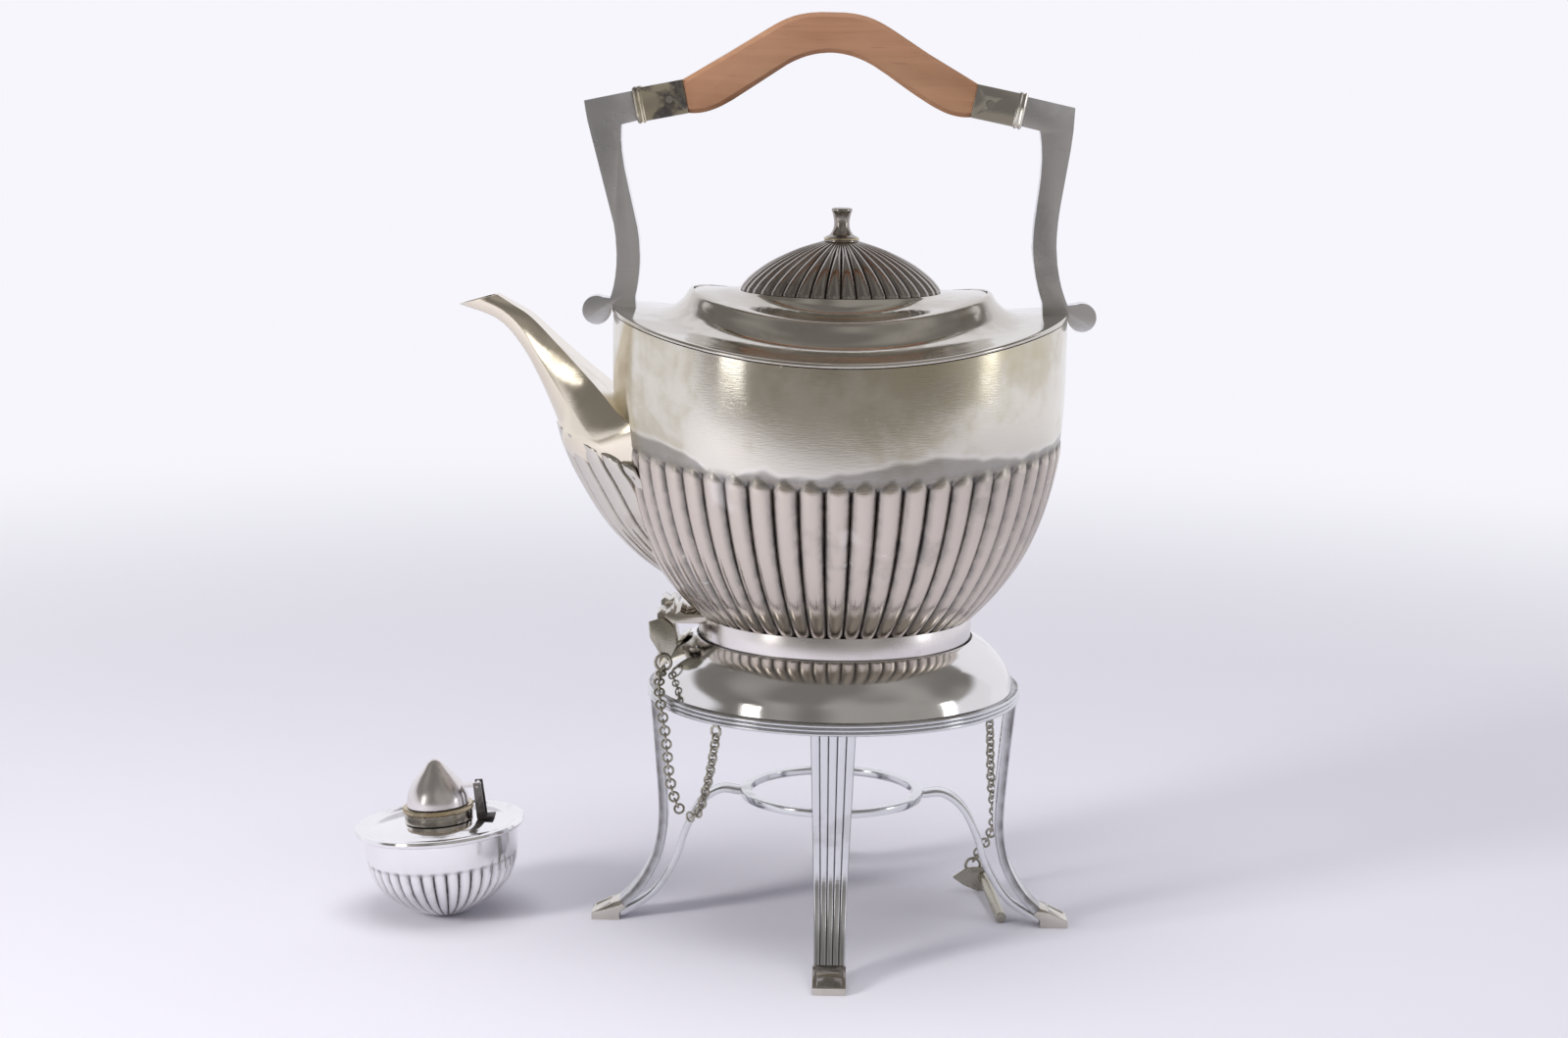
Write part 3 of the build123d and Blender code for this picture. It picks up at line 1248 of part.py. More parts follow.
# Snuffer: a bell-shaped cap that hinges on a bracket at the right
snuffer_z = wick_ring_z + WICK_RING_HEIGHT + 0.3
with BuildPart() as snuffer_cone:
    add(
        turned(
            (SNUFFER_RADIUS - 1, snuffer_z),
            (SNUFFER_RADIUS, snuffer_z),
            (0.86 * SNUFFER_RADIUS, snuffer_z + 4.6),
            (0.56 * SNUFFER_RADIUS, snuffer_z + 9.6),
            (0.33 * SNUFFER_RADIUS, snuffer_z + 12.2),
            (0.14 * SNUFFER_RADIUS, snuffer_z + 16.6),
            (0, snuffer_z + 16.6),
            (0, snuffer_z + 8.8),
            (0.5 * SNUFFER_RADIUS, snuffer_z + 8.8),
        )
    )
    # The tab that carries the cap, out to the hinge
    add(
        prism(
            Plane.XZ,
            2.0,
            (SNUFFER_RADIUS - 2.6, snuffer_z + 5.4),
            (SNUFFER_RADIUS - 2.9, snuffer_z + 6.6),
            (collar_radius + 2.2, snuffer_z + 6.6),
            (collar_radius + 2.2, snuffer_z + 5.4),
        )
    )
    snuffer_hinge = (collar_radius + 2.2, snuffer_z + 6.0)
    add(rod(1.1, (snuffer_hinge[0], -2.0, snuffer_hinge[1]), (snuffer_hinge[0], 2.0, snuffer_hinge[1])))
    add(
        rod(
            0.5 + PIN_CLEARANCE,
            (snuffer_hinge[0], -5, snuffer_hinge[1]),
            (snuffer_hinge[0], 5, snuffer_hinge[1]),
        ),
        mode=Mode.SUBTRACT,
    )
set_down(snuffer_cone.part, "snuffer_cone")

# The bracket: two ears on a foot that is bent over onto the plate
with BuildPart() as snuffer_bracket:
    for ear in (-1, 1):
        with BuildSketch(Plane.XZ.offset(-ear * 2.8)):
            with BuildLine():
                Polyline(
                    (snuffer_hinge[0] - 0.9, plate_z + 3.4),
                    (snuffer_hinge[0] + 2.2, plate_z + 3.4),
                    (snuffer_hinge[0] + 1.4, snuffer_hinge[1] + 1.2),
                    (snuffer_hinge[0] - 1.3, snuffer_hinge[1] + 1.2),
                    close=True,
                )
            make_face()
            with Locations(snuffer_hinge):
                Circle(0.5 + PIN_CLEARANCE, mode=Mode.SUBTRACT)
        extrude(amount=0.5, both=True)
    with BuildSketch(Plane.XY.offset(plate_z + 2.9)):
        with Locations((snuffer_hinge[0] + 2.2, 0)):
            Rectangle(6.0, 6.6)
    extrude(amount=0.8)
set_down(snuffer_bracket.part, "snuffer_bracket")

with BuildPart() as snuffer_pin:
    add(rod(0.5, (snuffer_hinge[0], -3.6, snuffer_hinge[1]), (snuffer_hinge[0], 3.6, snuffer_hinge[1])))
set_down(snuffer_pin.part, "snuffer_pin")

for name, place in (
    ("pin ring wire", pin_ring_wire),
    ("left eyelet wire", left_eyelet_wire),
    ("right eyelet wire", right_eyelet_wire),
    ("loose ring wire", loose_ring_wire),
):
    print(name, tuple(round(value, 3) for value in place))
hinge_world = burner_place * Location((snuffer_hinge[0], 0, snuffer_hinge[1]))
print("lid hinge", round(hinge_y, 3), round(hinge_z, 3))
print("kettle hinge", -PIVOT_RADIUS, round(PIVOT_Z, 3))
print("snuffer hinge", tuple(round(value, 3) for value in hinge_world.position))
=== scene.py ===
from math import atan2, cos, hypot, pi, radians, sin, sqrt

import bmesh
import bpy
import numpy as np
from mathutils import Matrix, Vector


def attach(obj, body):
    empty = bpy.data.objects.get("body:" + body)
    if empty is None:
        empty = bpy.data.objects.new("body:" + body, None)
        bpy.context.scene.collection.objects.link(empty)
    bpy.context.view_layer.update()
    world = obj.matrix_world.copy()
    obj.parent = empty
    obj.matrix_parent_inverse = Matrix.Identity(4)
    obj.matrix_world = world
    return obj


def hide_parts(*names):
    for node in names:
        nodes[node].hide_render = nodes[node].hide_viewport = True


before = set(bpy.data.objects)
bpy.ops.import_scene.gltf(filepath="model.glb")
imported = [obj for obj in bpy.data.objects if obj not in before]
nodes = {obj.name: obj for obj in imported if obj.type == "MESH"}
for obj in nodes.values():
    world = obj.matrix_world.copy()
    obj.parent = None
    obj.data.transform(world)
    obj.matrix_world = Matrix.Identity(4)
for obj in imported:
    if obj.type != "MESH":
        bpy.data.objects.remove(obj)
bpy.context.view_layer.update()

# Stand dome: silver-plated sheet, polished like a mirror, with a lip round the ledge that the kettle's
# foot drops in. It is made on a lathe, so its outline is spun about the stand's axis. Lengths in the
# outlines are in millimetres.
MM = 0.001


def feed(tree, entry, value):
    """Links another node's socket to an entry, or sets the entry to a constant."""
    if isinstance(value, bpy.types.NodeSocket):
        tree.links.new(value, entry)
    else:
        entry.default_value = value


def wired(tree, kind, links=(), **settings):
    """A new node with its settings, its constant inputs, and its links from other nodes."""
    node = tree.nodes.new(kind)
    for key, value in settings.items():
        setattr(node, key, value)
    for key, value in links:
        feed(tree, node.inputs[key], value)
    return node


def math_node(tree, operation, *values, clamp=False):
    return wired(tree, "ShaderNodeMath", enumerate(values), operation=operation, use_clamp=clamp).outputs[0]


def plus(tree, a, b, clamp=False):
    return math_node(tree, "ADD", a, b, clamp=clamp)


def minus(tree, a, b):
    return math_node(tree, "SUBTRACT", a, b)


def times(tree, a, b, clamp=False):
    return math_node(tree, "MULTIPLY", a, b, clamp=clamp)


def soft_step(tree, value, start, end, low=0.0, high=1.0):
    """Goes from low to high while the value goes from start to end."""
    links = [("Value", value), ("From Min", start), ("From Max", end), ("To Min", low), ("To Max", high)]
    return wired(tree, "ShaderNodeMapRange", links, interpolation_type="SMOOTHSTEP").outputs["Result"]


def mixed(tree, share, a, b):
    """Colour a, with a share of colour b over it."""
    return wired(tree, "ShaderNodeMix", [(0, share), (6, a), (7, b)], data_type="RGBA").outputs[2]


def noise(tree, place, scale, detail=4.0, distortion=0.0):
    links = [("Vector", place), ("Scale", scale), ("Detail", detail), ("Distortion", distortion)]
    return wired(tree, "ShaderNodeTexNoise", links).outputs["Fac"]


def object_place(tree):
    return tree.nodes.new("ShaderNodeTexCoord").outputs["Object"]


def stretched(tree, place, scale):
    """A place with each of its axes scaled, so that a noise on it is drawn out."""
    return wired(tree, "ShaderNodeMapping", [("Vector", place), ("Scale", scale)]).outputs[0]


def painted(tree, name):
    """A value that the mesh carries on its corners, such as the dirt and painted shade in its recesses."""
    return wired(tree, "ShaderNodeAttribute", attribute_name=name).outputs["Fac"]


# The plating has patches of tarnish with a darker tide round them, dirt and painted shade in the recesses,
# shallow dents and a fine brushing. They come from one group, to which each finish gives colours and amounts.
plating = bpy.data.node_groups.new("plating", "ShaderNodeTree")
for name, default in (
    ("Clean", (0.8, 0.78, 0.74, 1)),
    ("Tarnish", (0.45, 0.38, 0.3, 1)),
    ("Deep", (0.1, 0.08, 0.07, 1)),
):
    plating.interface.new_socket(name, in_out="INPUT", socket_type="NodeSocketColor").default_value = default
for name, default in (
    ("Amount", 0.5),
    ("Scale", 40.0),
    ("Polish", 0.15),
    ("Haze", 0.2),
    ("Brush", 0.3),
    ("Recess", 0.0),
):
    plating.interface.new_socket(name, in_out="INPUT", socket_type="NodeSocketFloat").default_value = default
for name, kind in (("Color", "Color"), ("Roughness", "Float"), ("Height", "Float")):
    plating.interface.new_socket(name, in_out="OUTPUT", socket_type=f"NodeSocket{kind}")
given = plating.nodes.new("NodeGroupInput").outputs
place = object_place(plating)
cloud = noise(plating, place, given["Scale"], 5.0, 0.5)
grain = noise(plating, place, times(plating, given["Scale"], 7.0), 6.0, 0.2)
uneven = minus(plating, grain, 0.5)
patch_edge = minus(plating, 0.78, times(plating, given["Amount"], 0.5))
broken = plus(plating, cloud, times(plating, uneven, 0.3))
patch = soft_step(plating, broken, patch_edge, plus(plating, patch_edge, 0.22))
off_middle = math_node(plating, "ABSOLUTE", minus(plating, times(plating, patch, 2.0), 1.0))
tide = minus(plating, 1.0, off_middle)
# The recess value darkens towards the deep colour: dirt, and painted shade in the hollows.
dirt_and_shade = times(plating, given["Recess"], soft_step(plating, grain, 0.25, 0.75, 0.6, 1.0), clamp=True)
colour = mixed(plating, patch, given["Clean"], given["Tarnish"])
colour = mixed(plating, times(plating, tide, 0.13), colour, given["Deep"])
colour = mixed(plating, soft_step(plating, cloud, 0.3, 0.7, 0.0, 0.22), colour, given["Tarnish"])
colour = mixed(plating, dirt_and_shade, colour, given["Deep"])
rough = plus(plating, given["Polish"], times(plating, patch, given["Haze"]))
rough = plus(plating, rough, times(plating, dirt_and_shade, 0.3))
rough = plus(plating, rough, times(plating, uneven, 0.1), clamp=True)
brushing = noise(plating, stretched(plating, place, (240.0, 240.0, 2600.0)), 1.0, 3.0)
fine = noise(plating, place, 1800.0, 2.0)
dents = noise(plating, place, 26.0, 2.0)
height = times(plating, brushing, times(plating, given["Brush"], 0.16))
height = plus(plating, height, times(plating, fine, 0.03))
height = plus(plating, height, times(plating, dents, 1.5))
out = plating.nodes.new("NodeGroupOutput").inputs
for name, value in (("Color", colour), ("Roughness", rough), ("Height", height)):
    plating.links.new(value, out[name])


def new_material(name):
    material = bpy.data.materials.new(name)
    material.use_nodes = True
    return material, material.node_tree, material.node_tree.nodes["Principled BSDF"]


def plating_layer(tree, dirt_and_shade, colours, **amounts):
    """The plating group in a material: its clean, tarnished and deep colours and its amounts."""
    group = wired(tree, "ShaderNodeGroup", node_tree=plating)
    for key, value in zip(("Clean", "Tarnish", "Deep"), colours):
        group.inputs[key].default_value = (*value, 1)
    for key, value in amounts.items():
        group.inputs[key.capitalize()].default_value = value
    tree.links.new(dirt_and_shade, group.inputs["Recess"])
    return group.outputs


def metal(tree, shader, colour, rough, height, bump):
    """Joins a metal's colour, roughness and relief to its shader."""
    relief = wired(tree, "ShaderNodeBump", [("Strength", bump), ("Distance", 0.0004), ("Height", height)])
    for key, value in (("Base Color", colour), ("Roughness", rough), ("Normal", relief.outputs[0])):
        tree.links.new(value, shader.inputs[key])
    shader.inputs["Metallic"].default_value = 1.0


def plated(name, colours, amount, scale, polish, haze, brush=0.3, bump=0.6):
    """A metal finish: its three colours, how much is tarnished, and how polished it is."""
    material, tree, shader = new_material(name)
    # The mesh's recess value carries its dirt and painted shade.
    dirt_and_shade = times(tree, painted(tree, "recess"), 0.95)
    amounts = dict(amount=amount, scale=scale, polish=polish, haze=haze, brush=brush)
    layer = plating_layer(tree, dirt_and_shade, colours, **amounts)
    metal(tree, shader, layer["Color"], layer["Roughness"], layer["Height"], bump)
    return material


mirror_plate = plated(
    "mirror_plate",
    ((0.80, 0.79, 0.78), (0.66, 0.63, 0.60), (0.30, 0.27, 0.25)),
    amount=0.3, scale=24, polish=0.11, haze=0.06, brush=0.2,
)


def smooth_run(points, between=6, kind=Vector):
    """Points on a smooth line through the given ones; kind makes each of them fit for sums."""
    points = [kind(p) for p in points]
    padded = [2 * points[0] - points[1]] + points + [2 * points[-1] - points[-2]]
    run = []
    for a, b, c, d in zip(padded, padded[1:], padded[2:], padded[3:]):
        bend = 2 * a - 5 * b + 4 * c - d
        twist = 3 * b - a - 3 * c + d
        for step in range(between):
            t = step / between
            run.append(0.5 * (2 * b + (c - a) * t + bend * t**2 + twist * t**3))
    return run + [points[-1]]


def rounded(outline, radius, closed=True):
    """An outline with its corners cut to small arcs, each at most 0.45 of the side that it is on."""
    outline = [Vector(p) for p in outline]
    soft = []
    for index, corner in enumerate(outline):
        if not closed and index in (0, len(outline) - 1):
            soft.append(corner)
            continue
        before = outline[index - 1] - corner
        after = outline[(index + 1) % len(outline)] - corner
        start = corner + before.normalized() * min(radius, before.length * 0.45)
        end = corner + after.normalized() * min(radius, after.length * 0.45)
        soft += [start, (start + end + 2 * corner) / 4, end]
    return soft


def spun(outline, steps=128, closed=True):
    """An outline of radius and height, spun about the upright axis; a third number lifts it in X."""
    bm = bmesh.new()
    bm.verts.layers.float.new("recess")
    lift = bm.verts.layers.float.new("rise")
    ring = [bm.verts.new((p[0], 0, p[1])) for p in outline]
    for vert, point in zip(ring, outline):
        vert[lift] = point[2] if len(point) > 2 else 0.0
    edges = [bm.edges.new(pair) for pair in zip(ring, ring[1:])]
    if closed:
        edges.append(bm.edges.new((ring[-1], ring[0])))
    bmesh.ops.spin(
        bm, geom=ring + edges, cent=(0, 0, 0), axis=(0, 0, 1), angle=2 * pi, steps=steps, use_merge=True
    )
    bmesh.ops.remove_doubles(bm, verts=bm.verts, dist=0.002)
    for vert in bm.verts:
        vert.co.z += vert[lift] * cos(atan2(vert.co.y, vert.co.x)) ** 2
    bm.verts.layers.float.remove(lift)
    bmesh.ops.recalc_face_normals(bm, faces=bm.faces)
    return bm


def piece(bm, name, body, slot, material, *replaced, sharp=38):
    """Makes a bmesh in millimetres one finished piece that rides on a body and replaces CAD nodes."""
    bmesh.ops.scale(bm, vec=(MM, MM, MM), verts=bm.verts)
    mesh = bpy.data.meshes.new(name)
    bm.to_mesh(mesh)
    bm.free()
    mesh.shade_smooth()
    mesh.set_sharp_from_angle(angle=radians(sharp))
    made = bpy.data.objects.new(name, mesh)
    bpy.context.collection.objects.link(made)
    mesh.materials.append(material)
    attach(made, body)
    if replaced:
        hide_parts(*replaced)
    return made


DOME_SKIN = [(63.6, 87.9), (61.9, 93.3), (58.8, 98.0), (54.6, 102.2), (49.6, 105.5)]
DOME_LEDGE = [(48.8, 105.8), (48.8, 102.8), (39.4, 102.8), (39.4, 101.6)]
DOME_UNDERSIDE = [(47.6, 101.6), (57.6, 96.8), (62.4, 87.9)]
skin = smooth_run(DOME_SKIN, 8)
lip = rounded([skin[-1], *DOME_LEDGE, *DOME_UNDERSIDE], 0.25, closed=False)
dome = spun([*skin, *lip[1:]], 144)
piece(dome, "stand_dome_sheet", "stand", "silver_plate", mirror_plate, "stand_dome")

# Rim under the dome: one cast ring of three round reeds, soldered on under the sheet's edge. Its plate is
# a little worn, and dirt with painted shade darkens it between the reeds.
worn_plate = plated(
    "worn_plate",
    ((0.72, 0.73, 0.75), (0.60, 0.60, 0.60), (0.13, 0.12, 0.12)),
    amount=0.45, scale=30, polish=0.14, haze=0.08,
)


def bead(radius, level, size, lift=0.0, count=8):
    """The outer half of a round bead, from its bottom to its top."""
    turns = [pi * i / count for i in range(count + 1)]
    return [Vector((radius + size * sin(turn), level - size * cos(turn), lift)) for turn in turns]


RIM_Z = 83.6
RIM_BACK = 62.4
RIM_RADIUS = 65.3
RIM_REED = 0.7
reeds = []
for reed in range(3):
    level = RIM_Z + RIM_REED + 2 * RIM_REED * reed
    reeds += bead(RIM_RADIUS, level, RIM_REED)[(1 if reed else 0):]
rim = spun([(RIM_BACK, RIM_Z), *[p.xy for p in reeds], (RIM_BACK, 87.8)], 144)
recess = rim.verts.layers.float["recess"]
# Dirt and painted shade darken the reeds towards the hollows between them.
for vert in rim.verts:
    out = hypot(vert.co.x, vert.co.y)
    if out > RIM_BACK + 1:
        vert[recess] = max(0.0, 1 - (out - RIM_RADIUS) / 0.35)
piece(rim, "stand_rim_reeds", "stand", "silver_plate", worn_plate, "stand_rim")

# Burner ring: a flat hoop of plated metal with rubbed edges. The burner hangs in it, and the four braces
# hold it in the middle of the stand.
hoop = spun(rounded([(28.9, 46.3), (32.6, 46.3), (32.6, 48.9), (28.9, 48.9)], 0.5), 96)
piece(hoop, "burner_hoop", "stand", "silver_plate", worn_plate, "burner_ring")


# Legs: four cast straps with five round reeds down their faces, soldered under the rim and swept out
# to the feet. Each point of the run is how far out it is, its height and the strap's width there.
def lofted(rings, shaded=None, capped=True, closed=True):
    """A skin over rings of points, grown from the first ring; shaded gives each corner's dirt and painted
    shade.
    """
    bm = bmesh.new()
    recess = bm.verts.layers.float.new("recess")
    corner = bm.verts.layers.int.new("corner")
    ring = [bm.verts.new(p) for p in rings[0]]
    for index, vert in enumerate(ring):
        vert[corner] = index
        vert[recess] = shaded[index] if shaded else 0.0
    edges = [bm.edges.new(pair) for pair in zip(ring, ring[1:])]
    if closed:
        edges.append(bm.edges.new((ring[-1], ring[0])))
    ends = list(edges)
    for points in rings[1:]:
        grown = bmesh.ops.extrude_edge_only(bm, edges=edges)["geom"]
        fresh = {g for g in grown if isinstance(g, bmesh.types.BMVert)}
        edges = [g for g in grown if isinstance(g, bmesh.types.BMEdge) and all(v in fresh for v in g.verts)]
        for vert in fresh:
            vert.co = points[vert[corner]]
    if capped:
        bmesh.ops.holes_fill(bm, edges=ends + edges, sides=0)
    bm.verts.layers.int.remove(corner)
    bmesh.ops.recalc_face_normals(bm, faces=bm.faces)
    return bm


def along(points):
    """Heading at each point of a run in the XZ plane."""
    headings = []
    for index in range(len(points)):
        before = points[max(index - 1, 0)]
        after = points[min(index + 1, len(points) - 1)]
        headings.append((after - before).normalized())
    return headings


def strap_ring(centre, heading, width, section):
    """A section of shares of the width and of depths, set square to the run at its centre."""
    outward = Vector((-heading.z, 0, heading.x))
    return [centre + Vector((0, share * width, 0)) + outward * depth for share, depth in section]


def round_top(share):
    """Height of a round reed or lobe: 1 on its crest, 0 at its edges."""
    return sqrt(1 - share**2) if share < 1 else 0


SIDES = {"right": 0, "back": 90, "left": 180, "front": 270}


def on_each_side(name, node, rings, shaded=None):
    """Four like pieces of the stand, one to each side."""
    for side, turn in SIDES.items():
        bm = lofted(rings, shaded)
        matrix = Matrix.Rotation(radians(turn), 3, "Z")
        bmesh.ops.rotate(bm, cent=(0, 0, 0), matrix=matrix, verts=bm.verts)
        piece(bm, f"{name}_{side}", "stand", "silver_plate", worn_plate, f"{node}_{side}")


LEG_RUN = [
    (64.8, 83.6, 15.2),
    (62.7, 60.0, 13.6),
    (61.5, 40.0, 12.2),
    (62.9, 27.5, 11.4),
    (66.4, 18.5, 10.9),
    (71.0, 11.6, 10.6),
    (75.4, 7.2, 10.6),
]
LEG_REEDS = 5
LEG_BACK = [(-0.5, -2.8), (-0.46, -3.2), (0.46, -3.2), (0.5, -2.8)]
LEG_BACK_DIRT_AND_SHADE = [0.3, 0.0, 0.0, 0.3]
REED_STEPS = 8
REED_VALLEY = -0.5
REED_RISE = 0.75
REED_FLAT = 0.12
leg_face = []
for reed in range(LEG_REEDS):
    last = reed == LEG_REEDS - 1
    for step in range(REED_STEPS + 1 if last else REED_STEPS):
        share = 0.5 - (reed + step / REED_STEPS) / LEG_REEDS
        depth = REED_RISE * round_top(-1 + 2 * step / REED_STEPS) + REED_VALLEY
        leg_face.append((share, min(depth, REED_FLAT)))
# Dirt and painted shade darken the valleys between the reeds, and a little the back's outer corners.
leg_dirt_and_shade = [1.0 if depth < -0.3 else 0.0 for _, depth in leg_face] + LEG_BACK_DIRT_AND_SHADE
leg_run = smooth_run(LEG_RUN, 7)
leg_line = [Vector((p[0], 0, p[1])) for p in leg_run]
leg_headings = [Vector((0, 0, -1)), *along(leg_line)[1:]]
leg_rings = [
    strap_ring(centre, heading, point[2], leg_face + LEG_BACK)
    for centre, heading, point in zip(leg_line, leg_headings, leg_run)
]
on_each_side("leg_strap", "leg", leg_rings, leg_dirt_and_shade)

# Braces: flat rods with rubbed edges, soldered to the burner hoop, bent over and led down to the heels of
# the feet. The run is how far out each point is and its height.
BRACE_RUN = [(32.65, 47.6), (40.0, 48.0), (47.0, 42.8), (52.2, 32.7), (55.8, 21.8), (63.6, 9.5), (75.3, 1.45)]
BRACE_WIDTH = 6.0
BRACE_HALF_THICK = 1.2
corners = [(x * BRACE_WIDTH / 2, z * BRACE_HALF_THICK) for x, z in ((-1, -1), (1, -1), (1, 1), (-1, 1))]
section = [(p.x / BRACE_WIDTH, p.y) for p in rounded(corners, 0.55)]
brace_line = [Vector((x, 0, z)) for x, z in smooth_run(BRACE_RUN, 6)]
level_end = Vector((1, 0, 0))
brace_headings = [level_end, *along(brace_line)[1:-1], level_end]
brace_rings = [
    strap_ring(centre, heading, BRACE_WIDTH, section) for centre, heading in zip(brace_line, brace_headings)
]
on_each_side("brace_rod", "brace", brace_rings)

# Feet: cast pads with a sunk panel, soldered under the ends of the legs and rubbed to the brass on their
# edges. Like the castings of the hinges and the handle, they keep their form, with the edges rubbed round.
bowed_plate = plated(
    "bowed_plate",
    ((0.66, 0.63, 0.57), (0.56, 0.52, 0.45), (0.20, 0.17, 0.15)),
    amount=0.55, scale=26, polish=0.10, haze=0.08,
)


def casting(node):
    """The form of a CAD node in millimetres, its loose triangles joined."""
    bm = bmesh.new()
    bm.from_mesh(nodes[node].data)
    bm.verts.layers.float.new("recess")
    bmesh.ops.remove_doubles(bm, verts=bm.verts, dist=1e-6)
    bmesh.ops.scale(bm, vec=(1 / MM, 1 / MM, 1 / MM), verts=bm.verts)
    return bm


def softened(node, width, name, body, slot, material, angle=32, segments=2):
    """A casting whose edges sharper than the angle are rubbed round, and whose flat faces are whole."""
    bm = casting(node)
    bmesh.ops.dissolve_limit(bm, angle_limit=radians(3), verts=bm.verts, edges=bm.edges)
    sharp = [e for e in bm.edges if len(e.link_faces) == 2 and e.calc_face_angle(0) > radians(angle)]
    bmesh.ops.bevel(
        bm, geom=sharp, offset=width, offset_type="OFFSET", affect="EDGES", segments=segments, profile=0.5,
        material=-1, clamp_overlap=True,
    )
    return piece(bm, name, body, slot, material, node)


for side in SIDES:
    softened(f"foot_{side}", 0.4, f"foot_pad_{side}", "stand", "silver_plate", bowed_plate)

# Hinge plates: two pairs, cast with reeds and knuckles. One half of each pair is soldered to the stand's
# dome and the other to the kettle's foot band, and a pin that pulls out goes through both.
for side in ("left", "back"):
    softened(f"stand_lug_{side}", 0.25, f"stand_hinge_{side}", "stand", "silver_plate", bowed_plate)
    softened(f"kettle_lug_{side}", 0.25, f"kettle_hinge_{side}", "kettle", "silver_plate", bowed_plate)

# Small fittings: bent eyelets, the lid's two hinge leaves and pin, the grip's rivets, the wick's collar and
# tube, and the snuffer's post and pin. They keep their CAD form and take the finish of their metal, and
# the wick gets its cotton with the burner.
brassy_grey = plated(
    "brassy_grey",
    ((0.46, 0.44, 0.37), (0.38, 0.35, 0.29), (0.12, 0.10, 0.08)),
    amount=0.5, scale=90, polish=0.26, haze=0.1,
)
gilt = plated(
    "gilt_brass",
    ((0.60, 0.52, 0.37), (0.48, 0.40, 0.27), (0.14, 0.10, 0.06)),
    amount=0.5, scale=120, polish=0.24, haze=0.12,
)
dark_oxide = plated(
    "dark_oxide",
    ((0.26, 0.24, 0.23), (0.10, 0.09, 0.09), (0.05, 0.04, 0.04)),
    amount=0.7, scale=90, polish=0.42, haze=0.15,
)
finishes = {
    "eyelet_left": brassy_grey,
    "eyelet_right": brassy_grey,
    "lid_hinge_pin": brassy_grey,
    "handle_rivets": bowed_plate,
    "burner_collar": bowed_plate,
    "wick_tube": gilt,
    "snuffer_pin": brassy_grey,
    "snuffer_bracket": dark_oxide,
}
for name, node in nodes.items():
    node.data.materials.clear()
    node.data.materials.append(finishes.get(name, worn_plate))

# Kettle bowl: sheet raised into 54 round lobes under a plain band. The lobes end in round tops on a line
# that is low at the front and rises to both sides, and dirt with painted shade darkens the valleys and the
# band just over their tops. A smooth dark wall closes it inside.
dark_plate = plated(
    "dark_plate",
    ((0.38, 0.35, 0.32), (0.29, 0.26, 0.23), (0.09, 0.08, 0.07)),
    amount=0.5, scale=40, polish=0.13, haze=0.08,
)
LOBES = 54
LOBE_VALLEY = -2.1
BELLY_Z = 205.0
BELLY_RADIUS = 79.0
BELLY_BULGE = 2.5
FOOT_RADIUS = 48.2
BOWL_BOTTOM_Z = 113.5
LINE_Z = 170.75
LINE_RISE = 6
RIM_EDGE_Z = 208.9
SHOULDER_Z = 209.0
RIM_RISE = 10.4
sweep = (BELLY_Z - BOWL_BOTTOM_Z) / (1 - (FOOT_RADIUS / BELLY_RADIUS) ** 2) ** (1 / BELLY_BULGE)


def bowl_radius(z):
    return BELLY_RADIUS * sqrt(1 - (max(BELLY_Z - z, 0) / sweep) ** BELLY_BULGE)


def ramp(value, span):
    """The value's share of a span, kept between 0 and 1."""
    return min(1.0, max(0.0, value / span))


def saddle_lift(z):
    """How far the bowl's two sides stand up over its front and back at a level."""
    if z < LINE_Z:
        return LINE_RISE * ramp(z - BOWL_BOTTOM_Z, LINE_Z - BOWL_BOTTOM_Z)
    return LINE_RISE + (RIM_RISE - LINE_RISE) * (z - LINE_Z) / (SHOULDER_Z - LINE_Z)


def across_lobe(azimuth, count):
    """Where an azimuth is across its lobe: -1 and 1 in the valleys, 0 on the crest."""
    return 2 * ((azimuth / (2 * pi) * count) % 1) - 1


def crowded(across):
    """A place across a lobe, moved towards the valleys, where the lobe is steepest."""
    return sin(across * pi / 2)


levels = [BOWL_BOTTOM_Z, 114.2, 115.5]
levels += [118 + 3.0 * i for i in range(15)]
levels += [162 + 0.7 * i for i in range(14)]
levels += [172.5, 174, 177, 182, 188, 194, 200, BELLY_Z, RIM_EDGE_Z]
rows = [Vector((bowl_radius(z), z, saddle_lift(z))) for z in levels]
bowl = spun(rows, LOBES * 14, closed=False)
recess = bowl.verts.layers.float["recess"]
lobed = bowl.verts.layers.float.new("lobed")
above = bowl.verts.layers.float.new("above")
for vert in bowl.verts:
    z = vert.co.z
    out = bowl_radius(z)
    azimuth = atan2(vert.co.y, vert.co.x)
    line = LINE_Z + LINE_RISE * cos(azimuth) ** 2
    vert[above] = ramp(z - line, 20)
    # Just over the line, dirt and a painted shadow darken a thin rim round the lobes' tops.
    if z > line:
        vert[recess] = 0.6 * max(0.0, 1 - (z - line) / 1.2)
        vert.co.x = cos(azimuth) * out
        vert.co.y = sin(azimuth) * out
        continue
    half = pi * out / LOBES
    under_line = ramp(line - z, half)
    across = across_lobe(azimuth, LOBES)
    bent = across + (crowded(across) - across) * under_line
    azimuth += (bent - across) * pi / LOBES
    share = hypot(bent, max(0.0, (z - (line - half)) / half))
    valley = LOBE_VALLEY * under_line
    crest = 0.3 + 0.5 * ramp(z - 116, 20)
    out += valley + (crest - valley) * round_top(share)
    vert[lobed] = ramp(line - z, 1.5)
    # Dirt and painted shade darken each lobe towards its valleys.
    vert[recess] = ramp(share - 0.35, 0.6) ** 1.3
    vert.co.x = cos(azimuth) * out
    vert.co.y = sin(azimuth) * out

